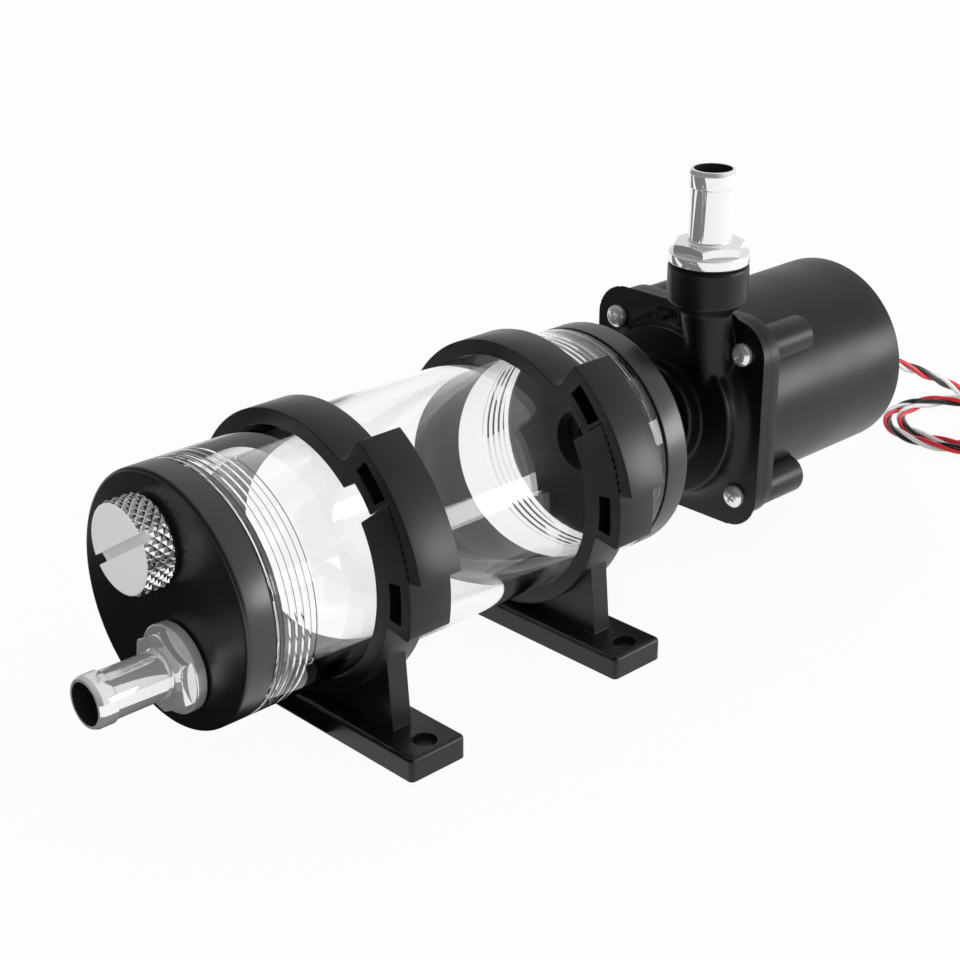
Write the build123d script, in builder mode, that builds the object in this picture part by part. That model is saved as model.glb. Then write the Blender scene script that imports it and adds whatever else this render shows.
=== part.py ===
from build123d import *
import os
from math import cos, pi, radians, sin, tan

# Coolant pump reservoir: a clear threaded tube in two clamp stands, a cap with a fill plug
# and a hose barb in front, and a small centrifugal pump coupled to the cap behind.
# Millimetres. The tube runs along X, the floor is Z = 0, and the origin is the middle of
# the four foot holes. The inlet is towards -X and the clamp jaws are on the -Y side.

# Tube
tube_od = 50.0
tube_wall = 3.5
tube_length = 101.5
tube_edge = 0.4
axis_height = 33.7

# Threads of the tube ends and of the cap spigots
cap_thread_zone = 10.4
cap_thread_pitch = 1.3
cap_thread_depth = 0.7
cap_thread_relief = 0.25
cap_thread_gap = 0.12
spigot_length = 5.2
spigot_thread_depth = 0.5

# End caps and their seals
cap_thickness = 6.2
rear_cap_thickness = 6.5
cap_rim = 0.9
cap_back_rim = 0.3
seal_gap = 0.7
seal_groove_depth = 0.8
seal_width = 1.5
seal_side_gap = 0.1
seal_round = 0.35

# Quarter inch ports, turned fittings and the fill plug
port_bore_radius = 6.6
port_chamfer = 0.4
port_offset = 12.0
fill_clock = 10.0
inlet_clock = 202.0
port_thread_pitch = 1.337
port_thread_radius = 6.52
port_thread_depth = 0.6
port_washer_radius = 8.2
port_washer_thickness = 0.4
fitting_shank = 6.0
flange_radius = 8.6
flange_height = 2.3
flange_edge = 0.35
hex_flats = 14.0
hex_height = 2.1
hex_edge = 0.3
barb_length = 15.6
barb_tube_radius = 4.6
barb_ring_radius = 5.0
barb_ring_length = 3.0
barb_nose = 0.9
barb_nose_radius = 4.65
barb_bore_radius = 4.1
plug_head_radius = 9.0
plug_head_height = 6.3
plug_edge = 0.4
plug_shank = 8.6
plug_slot_width = 1.9
plug_slot_depth = 1.8
plug_slot_tilt = 32.0
plug_seal_thickness = 0.8
knurl_count = 40
knurl_depth = 0.4

# Clamp stands
clamp_spacing = 55.0
front_overhang = 33.7
clamp_width = 9.8
clamp_bore_gap = 0.25
band_thickness = 3.2
foot_length = 72.4
foot_width = 13.6
foot_thickness = 4.9
foot_round = 1.0
foot_edge = 0.9
foot_hole_radius = 2.4
foot_hole_edge = 3.9
web_thickness = 4.6
web_foot_width = 52.6
web_top_width = 49.4
web_top_height = 20.0
strap_hinge_angle = -90.0
strap_end_angle = 42.0
jaw_back_angle = 36.0
jaw_step_angle = 44.0
jaw_floor_angle = 56.8
jaw_tip_angle = 80.6
jaw_floor_gap = 0.25
jaw_back_height = 7.75
jaw_back_fillet = 2.6
finger_gap = 0.2
finger_thickness = 3.05
arm_height = 6.1
arm_top_angle = 57.3
arm_bottom_angle = 100.5
arm_overlap_angle = 2.0
arm_seat_lean = 1.1
arm_fillet = 1.1
jaw_edge = 0.4
ratchet_first_angle = 60.0
ratchet_step = 2.6
ratchet_count = 8
ratchet_depth = 0.4
ratchet_land = 0.8
pocket_depth = 3.2
upper_pocket_floor = 2.75
upper_pocket_height = 3.3
upper_pocket_angles = (41.5, 54.5)
lower_pocket_floor = 0.45
lower_pocket_height = 3.1
lower_pocket_angles = (82.0, 96.5)

# Coupler between rear cap and pump
coupler_body = 15.4
coupler_radius = 8.8
coupler_grip_radius = 9.3
coupler_grip_length = 9.0
coupler_flutes = 18
coupler_shank = 6.0
coupler_rear_shank = 4.3
coupler_bore_radius = 4.2

# Pump head
flange_side = 47.0
flange_corner = 9.2
head_flange = 3.3
boss_radius = 12.0
boss_height = 4.2
dome_radius = 19.4
dome_foot_radius = 22.0
dome_height = 5.2
dome_edge = 0.5
inlet_depth = 7.5
chamber_radius = 17.0
chamber_wall = 1.6
head_rib_width = 1.6
head_rib_height = 0.5
upper_rib_place = (-1.2, 22.2)
side_rib_place = (4.6, 20.6)
outlet_forward = 5.9
outlet_side = 12.3
tower_radius = 8.7
tower_top = 37.4
tower_bottom = 29.5
tower_cone = 3.0
tower_bore_depth = 6.8
duct_radius = 5.4
duct_bore_radius = 3.8
duct_foot_radius = 4.4
duct_foot_bore = 3.0
duct_foot_height = 9.0
duct_foot_forward = 3.0
duct_foot_side = 10.6
duct_bore_back = 2.0
head_rib_length = 3.6
screw_spacing_y = 36.5
screw_spacing_z = 33.5
screw_hole_radius = 2.1
head_seal_radius = 18.1
head_seal_width = 1.5
head_seal_depth = 1.2
nose_radius = 2.6
nose_length = 2.7
nose_arm_width = 1.4
nose_arm_height = 1.2
shaft_seat_wall = 1.0

# Screws
screw_head_radius = 2.6
screw_head_height = 1.9
screw_shank_radius = 1.9
screw_shank_length = 12.0
screw_pilot_radius = 1.95
cross_length = 2.8
cross_width = 0.6
cross_depth = 1.1
cross_turn = 20.0
screw_crown = 1.05
screw_tip_room = 0.5

# Motor housing
housing_flange = 3.3
motor_radius = 22.6
motor_length = 48.0
housing_bore_radius = 19.6
can_seat_radius = 20.5
housing_boss_radius = 4.4
housing_boss_length = 12.8
housing_edge = 0.5
end_cap_flange = 4.0
end_cap_radius = 22.5
end_cap_spigot = 3.0
end_cap_gap = 0.05
end_cap_edge = 0.6
cable_exit_side = 10.0

# Wet rotor and its can
can_flange = 2.0
can_flange_gap = 0.1
can_outer_radius = 10.4
can_wall = 1.0
can_reach = 37.3
can_end_boss = 1.7
can_end_boss_radius = 3.2
shaft_radius = 1.5
bush_gap = 0.03
bush_outer_radius = 3.1
bush_length = 6.0
washer_thickness = 0.8
washer_play = 0.05
washer_radius = 3.0
impeller_radius = 15.0
impeller_disc = 1.2
impeller_gap = 1.0
hub_radius = 4.6
vane_height = 3.0
vane_count = 7
vane_width = 1.2
vane_sweep = 38.0
vane_overlap = 0.3
magnet_radius = 8.9
magnet_start = 3.6
magnet_end_gap = 1.4

# Stator and its board
stack_start = 6.6
stack_length = 24.0
stator_inner_radius = 10.6
stator_outer_radius = 19.5
yoke_inner_radius = 16.5
tooth_count = 6
tooth_width = 3.6
shoe_width = 8.6
shoe_height = 1.3
coil_gap = 0.12
coil_thickness = 1.7
coil_inner_radius = 12.3
coil_outer_radius = 16.1
insulator_inner_radius = 16.6
insulator_outer_radius = 19.4
insulator_thickness = 1.5
post_radius = 1.2
post_circle = 17.9
post_length = 6.0
board_radius = 19.0
board_thickness = 1.6
transistor_circle = 11.5
transistor_size = (4.2, 5.0)
driver_side = 6.0
chip_height = 1.4
capacitor_place = (9.5, 10.0)
capacitor_radius = 2.5
capacitor_height = 3.6

# Three-wire cable
cable_radius = 1.5
grommet_radius = 3.4
grommet_collar = 4.4
grommet_collar_length = 1.6
grommet_edge = 0.6
grommet_droop = 0.15
cable_route = (
    (141.5, -10.3, 34.0),
    (151.5, -13.6, 30.0),
    (160.5, -17.4, 22.5),
    (169.0, -22.0, 13.6),
    (178.0, -26.4, 6.6),
)
cable_lead_end = (187.0, -28.6, 3.6)
coil_centre = (187.6, -8.2)
coil_inner = 16.0
coil_outer = 25.5
coil_height = 6.4
coil_edge = 2.0
bend_share = 0.45
tail_start = (190.0, -32.4, 2.0)
tail_route = ((200.0, -33.8, 1.7), (209.0, -35.4, 1.9), (217.0, -39.0, 2.4))
tail_end = (223.0, -43.6, 2.9)
connector_size = (11.0, 10.2, 5.8)
connector_socket = 1.3
connector_socket_depth = 7.0
connector_pitch = 2.54
connector_rib = 0.8

# Places along the tube axis
cap_face_x = -(clamp_spacing / 2 + front_overhang)
tube_front_x = cap_face_x + cap_thickness + seal_gap
tube_rear_x = tube_front_x + tube_length
rear_cap_x = tube_rear_x + seal_gap
rear_face_x = rear_cap_x + rear_cap_thickness
boss_x = rear_face_x + coupler_body
dome_x = boss_x + boss_height
plate_x = dome_x + dome_height
joint_x = plate_x + head_flange
motor_end_x = joint_x + housing_flange + motor_length
end_cap_x = motor_end_x - end_cap_flange
chamber_x = dome_x + chamber_wall
impeller_back_x = joint_x - impeller_gap
impeller_front_x = impeller_back_x - impeller_disc - vane_height
nose_x = chamber_x + nose_length
rotor_front_x = nose_x + washer_thickness + 2 * washer_play
can_end_x = joint_x + can_reach
can_boss_x = can_end_x - can_wall - can_end_boss
rotor_rear_x = can_boss_x - washer_thickness - 2 * washer_play
stack_x = joint_x + stack_start
stack_end_x = stack_x + stack_length
post_end_x = stack_end_x + insulator_thickness + post_length

tube_radius = tube_od / 2
tube_bore_radius = tube_radius - tube_wall
clamp_bore_radius = tube_radius + clamp_bore_gap
band_radius = clamp_bore_radius + band_thickness
arm_radius = band_radius + arm_height
jaw_inner_radius = band_radius + jaw_floor_gap
jaw_back_radius = band_radius + jaw_back_height
finger_inner_radius = arm_radius + finger_gap
jaw_tip_radius = finger_inner_radius + finger_thickness
jaw_middle_radius = (jaw_back_radius + jaw_tip_radius) / 2
upper_pocket_radius = band_radius + upper_pocket_floor
lower_pocket_radius = band_radius + lower_pocket_floor
can_inner_radius = can_outer_radius - can_wall
outlet_x = plate_x - outlet_forward
tower_top_z = axis_height + tower_top

tube_axis = Axis((0, 0, axis_height), (1, 0, 0))
profile_plane = Plane(origin=(0, 0, axis_height), x_dir=(1, 0, 0), z_dir=(0, -1, 0))


def across(x):
    """Plane square to the tube axis at x, with its local x along +Y and local y along +Z."""
    return Plane(origin=(x, 0, axis_height), x_dir=(0, 1, 0), z_dir=(1, 0, 0))


def polar(radius, angle):
    """Point of the clamp profile: the angle is from the top towards -Y."""
    return (-radius * sin(radians(angle)), radius * cos(radians(angle)))


def thread(start, length, pitch, radius, depth):
    """Outline points of a row of V grooves cut to depth, from start along +x."""
    turns = int(abs(length) / pitch + 0.001)
    step = pitch if length > 0 else -pitch
    points = []
    for turn in range(turns):
        groove = start + step * (turn + 0.5)
        points += [(groove - step * 0.4, radius), (groove, radius + depth), (groove + step * 0.4, radius)]
    return points


def save(builder, name):
    """Label the finished piece and write it."""
    builder.part.label = name
    export_step(builder.part, f"parts/{name}.step")


os.makedirs("parts", exist_ok=True)

# Clear tube, threaded inside at both ends
with BuildPart() as reservoir_tube:
    with BuildSketch(profile_plane):
        with BuildLine():
            zone_radius = tube_bore_radius + cap_thread_relief
            front_grooves = thread(
                tube_front_x + tube_edge, cap_thread_zone, cap_thread_pitch, zone_radius, cap_thread_depth
            )
            rear_grooves = thread(
                tube_rear_x - tube_edge, -cap_thread_zone, cap_thread_pitch, zone_radius, cap_thread_depth
            )
            Polyline(
                (tube_front_x, tube_radius - tube_edge),
                (tube_front_x + tube_edge, tube_radius),
                (tube_rear_x - tube_edge, tube_radius),
                (tube_rear_x, tube_radius - tube_edge),
                (tube_rear_x, zone_radius),
                *rear_grooves,
                (tube_rear_x - tube_edge - cap_thread_zone, zone_radius),
                (tube_rear_x - tube_edge - cap_thread_zone, tube_bore_radius),
                (tube_front_x + tube_edge + cap_thread_zone, tube_bore_radius),
                (tube_front_x + tube_edge + cap_thread_zone, zone_radius),
                *reversed(front_grooves),
                (tube_front_x, zone_radius),
                close=True,
            )
        make_face()
    revolve(axis=tube_axis)
save(reservoir_tube, "reservoir_tube")


def end_cap(face_x, inward, thickness, ports):
    """Disc with a threaded spigot, a seal groove and quarter inch ports at (y, z) points."""
    seat_x = face_x + inward * thickness
    tip_x = seat_x + inward * (seal_gap + spigot_length)
    spigot_radius = tube_bore_radius + cap_thread_relief - cap_thread_gap
    groove_inner = tube_radius - tube_edge - seal_width - 2 * seal_side_gap
    threaded = inward * (spigot_length - cap_back_rim)
    thread_x = seat_x + inward * seal_gap
    grooves = thread(thread_x, threaded, cap_thread_pitch, spigot_radius, -spigot_thread_depth)
    with BuildPart() as cap:
        with BuildSketch(profile_plane):
            with BuildLine():
                Polyline(
                    (face_x, 0),
                    (face_x, tube_radius - cap_rim),
                )
                ThreePointArc(
                    (face_x, tube_radius - cap_rim),
                    (face_x + inward * cap_rim * (1 - cos(pi / 4)), tube_radius - cap_rim * (1 - sin(pi / 4))),
                    (face_x + inward * cap_rim, tube_radius),
                )
                Polyline(
                    (face_x + inward * cap_rim, tube_radius),
                    (seat_x - inward * cap_back_rim, tube_radius),
                    (seat_x, tube_radius - cap_back_rim),
                    (seat_x, tube_radius - tube_edge),
                    (seat_x - inward * seal_groove_depth, tube_radius - tube_edge),
                    (seat_x - inward * seal_groove_depth, groove_inner),
                    (seat_x, groove_inner),
                    (seat_x, spigot_radius),
                    *grooves,
                    (tip_x - inward * cap_back_rim, spigot_radius),
                    (tip_x, spigot_radius - cap_back_rim),
                    (tip_x, 0),
                    (face_x, 0),
                )
            make_face()
        revolve(axis=tube_axis)
        with BuildSketch(across(face_x)):
            with Locations(*ports):
                Circle(port_bore_radius)
        extrude(amount=inward * (thickness + seal_gap + spigot_length), mode=Mode.SUBTRACT)
        mouths = cap.edges().filter_by(GeomType.CIRCLE)
        mouths = mouths.filter_by(lambda edge: abs(edge.radius - port_bore_radius) < 0.01)
        chamfer(mouths, port_chamfer)
    return cap


fill_port = polar(port_offset, -fill_clock)
inlet_port = polar(port_offset, 360 - inlet_clock)
front_end_cap = end_cap(cap_face_x, 1, cap_thickness, [fill_port, inlet_port])
save(front_end_cap, "front_end_cap")
rear_end_cap = end_cap(rear_face_x, -1, rear_cap_thickness, [(0, 0)])
save(rear_end_cap, "rear_end_cap")


def cap_seal(seat_x, inward):
    """Seal ring squeezed between a cap's groove and the end of the tube."""
    floor_x = seat_x - inward * seal_groove_depth
    outer = tube_radius - tube_edge - seal_side_gap
    with BuildPart() as seal:
        with BuildSketch(profile_plane):
            middle = (floor_x + seat_x + inward * seal_gap) / 2
            with Locations((middle, outer - seal_width / 2)):
                RectangleRounded(seal_groove_depth + seal_gap, seal_width, seal_round)
        revolve(axis=tube_axis)
    return seal


front_cap_seal = cap_seal(cap_face_x + cap_thickness, 1)
save(front_cap_seal, "front_cap_seal")
rear_cap_seal = cap_seal(rear_cap_x, -1)
save(rear_cap_seal, "rear_cap_seal")


def threaded_shank(length):
    """Outline of a shank from its root, at the origin, to its tip at -length."""
    threaded = length - 2 * port_chamfer
    grooves = thread(-port_chamfer, -threaded, port_thread_pitch, port_thread_radius, -port_thread_depth)
    turned = [(radius, height) for height, radius in grooves]
    return [
        (port_thread_radius, 0),
        *turned,
        (port_thread_radius, port_chamfer - length),
        (port_thread_radius - port_chamfer, -length),
    ]


def barb_fitting(seat):
    """Hose barb on the plane seat: its washer lies on the seat and the barb points outwards."""
    flange_base = port_washer_thickness
    flange_top = flange_base + flange_height
    hex_top = flange_top + hex_height
    barb_top = hex_top + barb_length
    ring_base = barb_top - barb_nose - barb_ring_length
    upright = Plane(origin=seat.origin, x_dir=seat.x_dir, z_dir=-seat.y_dir)
    with BuildPart() as fitting:
        with BuildSketch(seat.offset(flange_top)):
            RegularPolygon(hex_flats / 2, 6, major_radius=False)
        extrude(amount=hex_height)
        hexagon = fitting.faces().sort_by(seat_axis(seat))[-1]
        chamfer(hexagon.edges(), hex_edge)
        with BuildSketch(upright):
            with BuildLine():
                Polyline(
                    (0, -fitting_shank),
                    *reversed(threaded_shank(fitting_shank)),
                    (port_thread_radius, flange_base),
                    (flange_radius - flange_edge, flange_base),
                    (flange_radius, flange_base + flange_edge),
                    (flange_radius, flange_top - flange_edge),
                    (flange_radius - flange_edge, flange_top),
                    (barb_tube_radius, flange_top),
                    (barb_tube_radius, ring_base),
                    (barb_ring_radius, ring_base),
                    (barb_ring_radius, ring_base + barb_ring_length),
                    (barb_nose_radius, barb_top),
                    (0, barb_top),
                    close=True,
                )
            make_face()
        revolve(axis=seat_axis(seat))
        with BuildSketch(seat.offset(-fitting_shank)):
            Circle(barb_bore_radius)
        extrude(amount=fitting_shank + barb_top, mode=Mode.SUBTRACT)
    return fitting


def seat_axis(seat):
    """Axis through the seat, pointing outwards."""
    return Axis(seat.origin, seat.z_dir)


def port_washer(seat, radius, thickness):
    """Flat sealing ring on a port."""
    with BuildPart() as washer:
        with BuildSketch(seat):
            Circle(radius)
            Circle(port_bore_radius, mode=Mode.SUBTRACT)
        extrude(amount=thickness)
    return washer


def port_seat(x, port):
    """Outward plane of a port in the front cap."""
    return Plane(origin=(x, port[0], axis_height + port[1]), x_dir=(0, -1, 0), z_dir=(-1, 0, 0))


inlet_seat = port_seat(cap_face_x, inlet_port)
outlet_seat = Plane(origin=(outlet_x, -outlet_side, tower_top_z), x_dir=(0, -1, 0), z_dir=(0, 0, 1))
for place, seat in (("inlet", inlet_seat), ("outlet", outlet_seat)):
    save(barb_fitting(seat), f"{place}_barb_fitting")
    save(port_washer(seat, port_washer_radius, port_washer_thickness), f"{place}_fitting_seal")

# Knurled fill plug with a coin slot, and the ring under its head
fill_seat = port_seat(cap_face_x, fill_port)
fill_upright = Plane(origin=fill_seat.origin, x_dir=fill_seat.x_dir, z_dir=-fill_seat.y_dir)
plug_top = plug_seal_thickness + plug_head_height
with BuildPart() as fill_plug:
    with BuildSketch(fill_upright):
        with BuildLine():
            Polyline(
                (0, -plug_shank),
                *reversed(threaded_shank(plug_shank)),
                (port_thread_radius, plug_seal_thickness),
                (plug_head_radius - plug_edge, plug_seal_thickness),
                (plug_head_radius, plug_seal_thickness + plug_edge),
                (plug_head_radius, plug_top - plug_edge),
                (plug_head_radius - plug_edge, plug_top),
                (0, plug_top),
                close=True,
            )
        make_face()
    revolve(axis=seat_axis(fill_seat))
    with BuildSketch(fill_seat.offset(plug_top)):
        with PolarLocations(plug_head_radius, knurl_count):
            Rectangle(knurl_depth * 2 ** 0.5, knurl_depth * 2 ** 0.5, rotation=45)
    extrude(amount=-plug_head_height, mode=Mode.SUBTRACT)
    with BuildSketch(fill_seat.offset(plug_top)):
        Rectangle(2 * plug_head_radius + 2, plug_slot_width, rotation=plug_slot_tilt)
    extrude(amount=-plug_slot_depth, mode=Mode.SUBTRACT)
save(fill_plug, "fill_plug")
save(port_washer(fill_seat, port_washer_radius, plug_seal_thickness), "fill_plug_seal")


def sector(inner, outer, start, end, outer_start=None):
    """Ring sector of the clamp profile between two angles; its start may lean."""
    middle = (start + end) / 2
    outer_start = start if outer_start is None else outer_start
    with BuildSketch() as shape:
        with BuildLine():
            ThreePointArc(polar(inner, start), polar(inner, middle), polar(inner, end))
            Line(polar(inner, end), polar(outer, end))
            ThreePointArc(polar(outer, end), polar(outer, middle), polar(outer, outer_start))
            Line(polar(outer, outer_start), polar(inner, start))
        make_face()
    return shape.sketch


def pocket(floor_radius, height, angles):
    """Outline of a pocket in a clamp's flat face."""
    return sector(floor_radius, floor_radius + height, *angles)


def leaning(angle, radius):
    """Angle at a radius of the seat between arm and jaw, which leans up towards its outside."""
    return angle - arm_seat_lean * (radius - band_radius) / arm_height


def ratchet(radius, outwards):
    """Row of saw teeth that cut into a clamp face from the given radius."""
    with BuildSketch() as teeth:
        for tooth in range(ratchet_count):
            angle = ratchet_first_angle + tooth * ratchet_step
            with BuildLine():
                Polyline(
                    polar(radius - outwards * finger_gap, angle),
                    polar(radius + outwards * ratchet_depth, angle),
                    polar(radius - outwards * finger_gap, angle + ratchet_land * ratchet_step),
                    close=True,
                )
            make_face()
    return teeth.sketch


def clamp_base(middle_x):
    """Foot, web, lower half of the ring and the toothed arm that the strap hooks over."""
    front_x = middle_x - clamp_width / 2
    with BuildPart() as base:
        with BuildSketch(Plane.XY):
            with Locations((middle_x, 0)):
                RectangleRounded(foot_width, foot_length, foot_round)
        extrude(amount=foot_thickness)
        foot_top = base.faces().sort_by(Axis.Z)[-1]
        fillet(foot_top.edges(), foot_edge)
        with BuildSketch(across(middle_x - web_thickness / 2)):
            with BuildLine():
                Polyline(
                    (-web_foot_width / 2, foot_thickness / 2 - axis_height),
                    (web_foot_width / 2, foot_thickness / 2 - axis_height),
                    (web_top_width / 2, web_top_height - axis_height),
                    (-web_top_width / 2, web_top_height - axis_height),
                    close=True,
                )
            make_face()
        extrude(amount=web_thickness)
        with BuildSketch(across(front_x)):
            ring_start = arm_bottom_angle - arm_overlap_angle
            add(sector(clamp_bore_radius, band_radius, ring_start, 360 + strap_hinge_angle))
            arm_start = leaning(arm_top_angle, clamp_bore_radius)
            arm_outer_start = leaning(arm_top_angle, arm_radius)
            add(sector(clamp_bore_radius, arm_radius, arm_start, arm_bottom_angle, arm_outer_start))
        extrude(amount=clamp_width)
        edges = base.edges().filter_by(Axis.X)
        corner = polar(arm_radius, arm_bottom_angle)
        fillet(nearest(edges, front_x, corner), arm_fillet)
        edges = base.edges().filter_by(Axis.X)
        fillet(nearest(edges, front_x, polar(band_radius, arm_bottom_angle)), arm_fillet)
        edges = base.edges().filter_by(Axis.X)
        fillet(nearest(edges, front_x, polar(clamp_bore_radius, arm_start)), jaw_edge)
        with BuildSketch(across(front_x - clamp_width)):
            Circle(clamp_bore_radius)
        extrude(amount=3 * clamp_width, mode=Mode.SUBTRACT)
        with BuildSketch(across(front_x)):
            add(ratchet(arm_radius, -1))
        extrude(amount=clamp_width, mode=Mode.SUBTRACT)
        for x, inwards in ((front_x, 1), (front_x + clamp_width, -1)):
            with BuildSketch(across(x)):
                add(pocket(lower_pocket_radius, lower_pocket_height, lower_pocket_angles))
            extrude(amount=inwards * pocket_depth, mode=Mode.SUBTRACT)
        with BuildSketch(Plane.XY):
            with GridLocations(1, foot_length - 2 * foot_hole_edge, 1, 2):
                with Locations((middle_x, 0)):
                    Circle(foot_hole_radius)
        extrude(amount=foot_thickness, mode=Mode.SUBTRACT)
    return base


def nearest(edges, front_x, point):
    """The edge along X that passes the given point of the clamp profile."""
    spot = Vector(front_x + clamp_width / 2, point[0], axis_height + point[1])
    return edges.sort_by(lambda edge: (edge.center() - spot).length)[0]


def clamp_strap(middle_x):
    """Band over the tube with its hooked jaw, hinged at its thin end on the +Y side."""
    front_x = middle_x - clamp_width / 2
    top_middle = (strap_hinge_angle + strap_end_angle) / 2
    inner_floor = leaning(jaw_floor_angle, jaw_inner_radius)
    outer_floor = leaning(jaw_floor_angle, finger_inner_radius)
    with BuildPart() as strap:
        with BuildSketch(across(front_x)):
            with BuildLine():
                start = strap_hinge_angle
                ThreePointArc(
                    polar(clamp_bore_radius, start),
                    polar(clamp_bore_radius, top_middle),
                    polar(clamp_bore_radius, strap_end_angle),
                )
                Line(polar(clamp_bore_radius, strap_end_angle), polar(jaw_inner_radius, jaw_step_angle))
                ThreePointArc(
                    polar(jaw_inner_radius, jaw_step_angle),
                    polar(jaw_inner_radius, (jaw_step_angle + inner_floor) / 2),
                    polar(jaw_inner_radius, inner_floor),
                )
                Line(polar(jaw_inner_radius, inner_floor), polar(finger_inner_radius, outer_floor))
                ThreePointArc(
                    polar(finger_inner_radius, outer_floor),
                    polar(finger_inner_radius, (outer_floor + jaw_tip_angle) / 2),
                    polar(finger_inner_radius, jaw_tip_angle),
                )
                Line(polar(finger_inner_radius, jaw_tip_angle), polar(jaw_tip_radius, jaw_tip_angle))
                ThreePointArc(
                    polar(jaw_tip_radius, jaw_tip_angle),
                    polar(jaw_middle_radius, (jaw_back_angle + jaw_tip_angle) / 2),
                    polar(jaw_back_radius, jaw_back_angle),
                )
                Line(polar(jaw_back_radius, jaw_back_angle), polar(band_radius, jaw_back_angle))
                ThreePointArc(
                    polar(band_radius, jaw_back_angle),
                    polar(band_radius, (start + jaw_back_angle) / 2),
                    polar(band_radius, start),
                )
                Line(polar(band_radius, start), polar(clamp_bore_radius, start))
            make_face()
        extrude(amount=clamp_width)
        edges = strap.edges().filter_by(Axis.X)
        fillet(nearest(edges, front_x, polar(band_radius, jaw_back_angle)), jaw_back_fillet)
        edges = strap.edges().filter_by(Axis.X)
        fillet(nearest(edges, front_x, polar(jaw_back_radius, jaw_back_angle)), jaw_edge)
        with BuildSketch(across(front_x)):
            add(ratchet(finger_inner_radius, 1))
        extrude(amount=clamp_width, mode=Mode.SUBTRACT)
        for x, inwards in ((front_x, 1), (front_x + clamp_width, -1)):
            with BuildSketch(across(x)):
                add(pocket(upper_pocket_radius, upper_pocket_height, upper_pocket_angles))
            extrude(amount=inwards * pocket_depth, mode=Mode.SUBTRACT)
    return strap


for place, middle_x in (("front", -clamp_spacing / 2), ("rear", clamp_spacing / 2)):
    save(clamp_base(middle_x), f"{place}_clamp_base")
    save(clamp_strap(middle_x), f"{place}_clamp_strap")

# Threaded coupler between the rear cap and the pump, with a fluted grip
with BuildPart() as inlet_coupler:
    with BuildSketch(profile_plane):
        with BuildLine():
            washer = port_washer_thickness
            grip_start = rear_face_x + (coupler_body - coupler_grip_length) / 2
            grip_end = grip_start + coupler_grip_length
            front_thread = thread(
                rear_face_x - coupler_shank + port_chamfer,
                coupler_shank - port_chamfer,
                port_thread_pitch,
                port_thread_radius,
                -port_thread_depth,
            )
            rear_thread = thread(
                boss_x,
                coupler_rear_shank - port_chamfer,
                port_thread_pitch,
                port_thread_radius,
                -port_thread_depth,
            )
            Polyline(
                (rear_face_x - coupler_shank, coupler_bore_radius),
                (rear_face_x - coupler_shank, port_thread_radius - port_chamfer),
                (rear_face_x - coupler_shank + port_chamfer, port_thread_radius),
                *front_thread,
                (rear_face_x + washer, port_thread_radius),
                (rear_face_x + washer, coupler_radius),
                (grip_start, coupler_radius),
                (grip_start, coupler_grip_radius),
                (grip_end, coupler_grip_radius),
                (grip_end, coupler_radius),
                (boss_x - washer, coupler_radius),
                (boss_x - washer, port_thread_radius),
                *rear_thread,
                (boss_x + coupler_rear_shank - port_chamfer, port_thread_radius),
                (boss_x + coupler_rear_shank, port_thread_radius - port_chamfer),
                (boss_x + coupler_rear_shank, coupler_bore_radius),
                close=True,
            )
        make_face()
    revolve(axis=tube_axis)
    with BuildSketch(across(grip_start)):
        with PolarLocations(coupler_grip_radius, coupler_flutes):
            Circle((coupler_grip_radius - coupler_radius) * 0.9)
    extrude(amount=coupler_grip_length, mode=Mode.SUBTRACT)
save(inlet_coupler, "inlet_coupler")

with BuildPart() as coupler_seals:
    for x in (rear_face_x, boss_x - port_washer_thickness):
        with BuildSketch(across(x)):
            Circle(port_washer_radius)
            Circle(port_bore_radius, mode=Mode.SUBTRACT)
        extrude(amount=port_washer_thickness)
save(coupler_seals, "coupler_seals")

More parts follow.
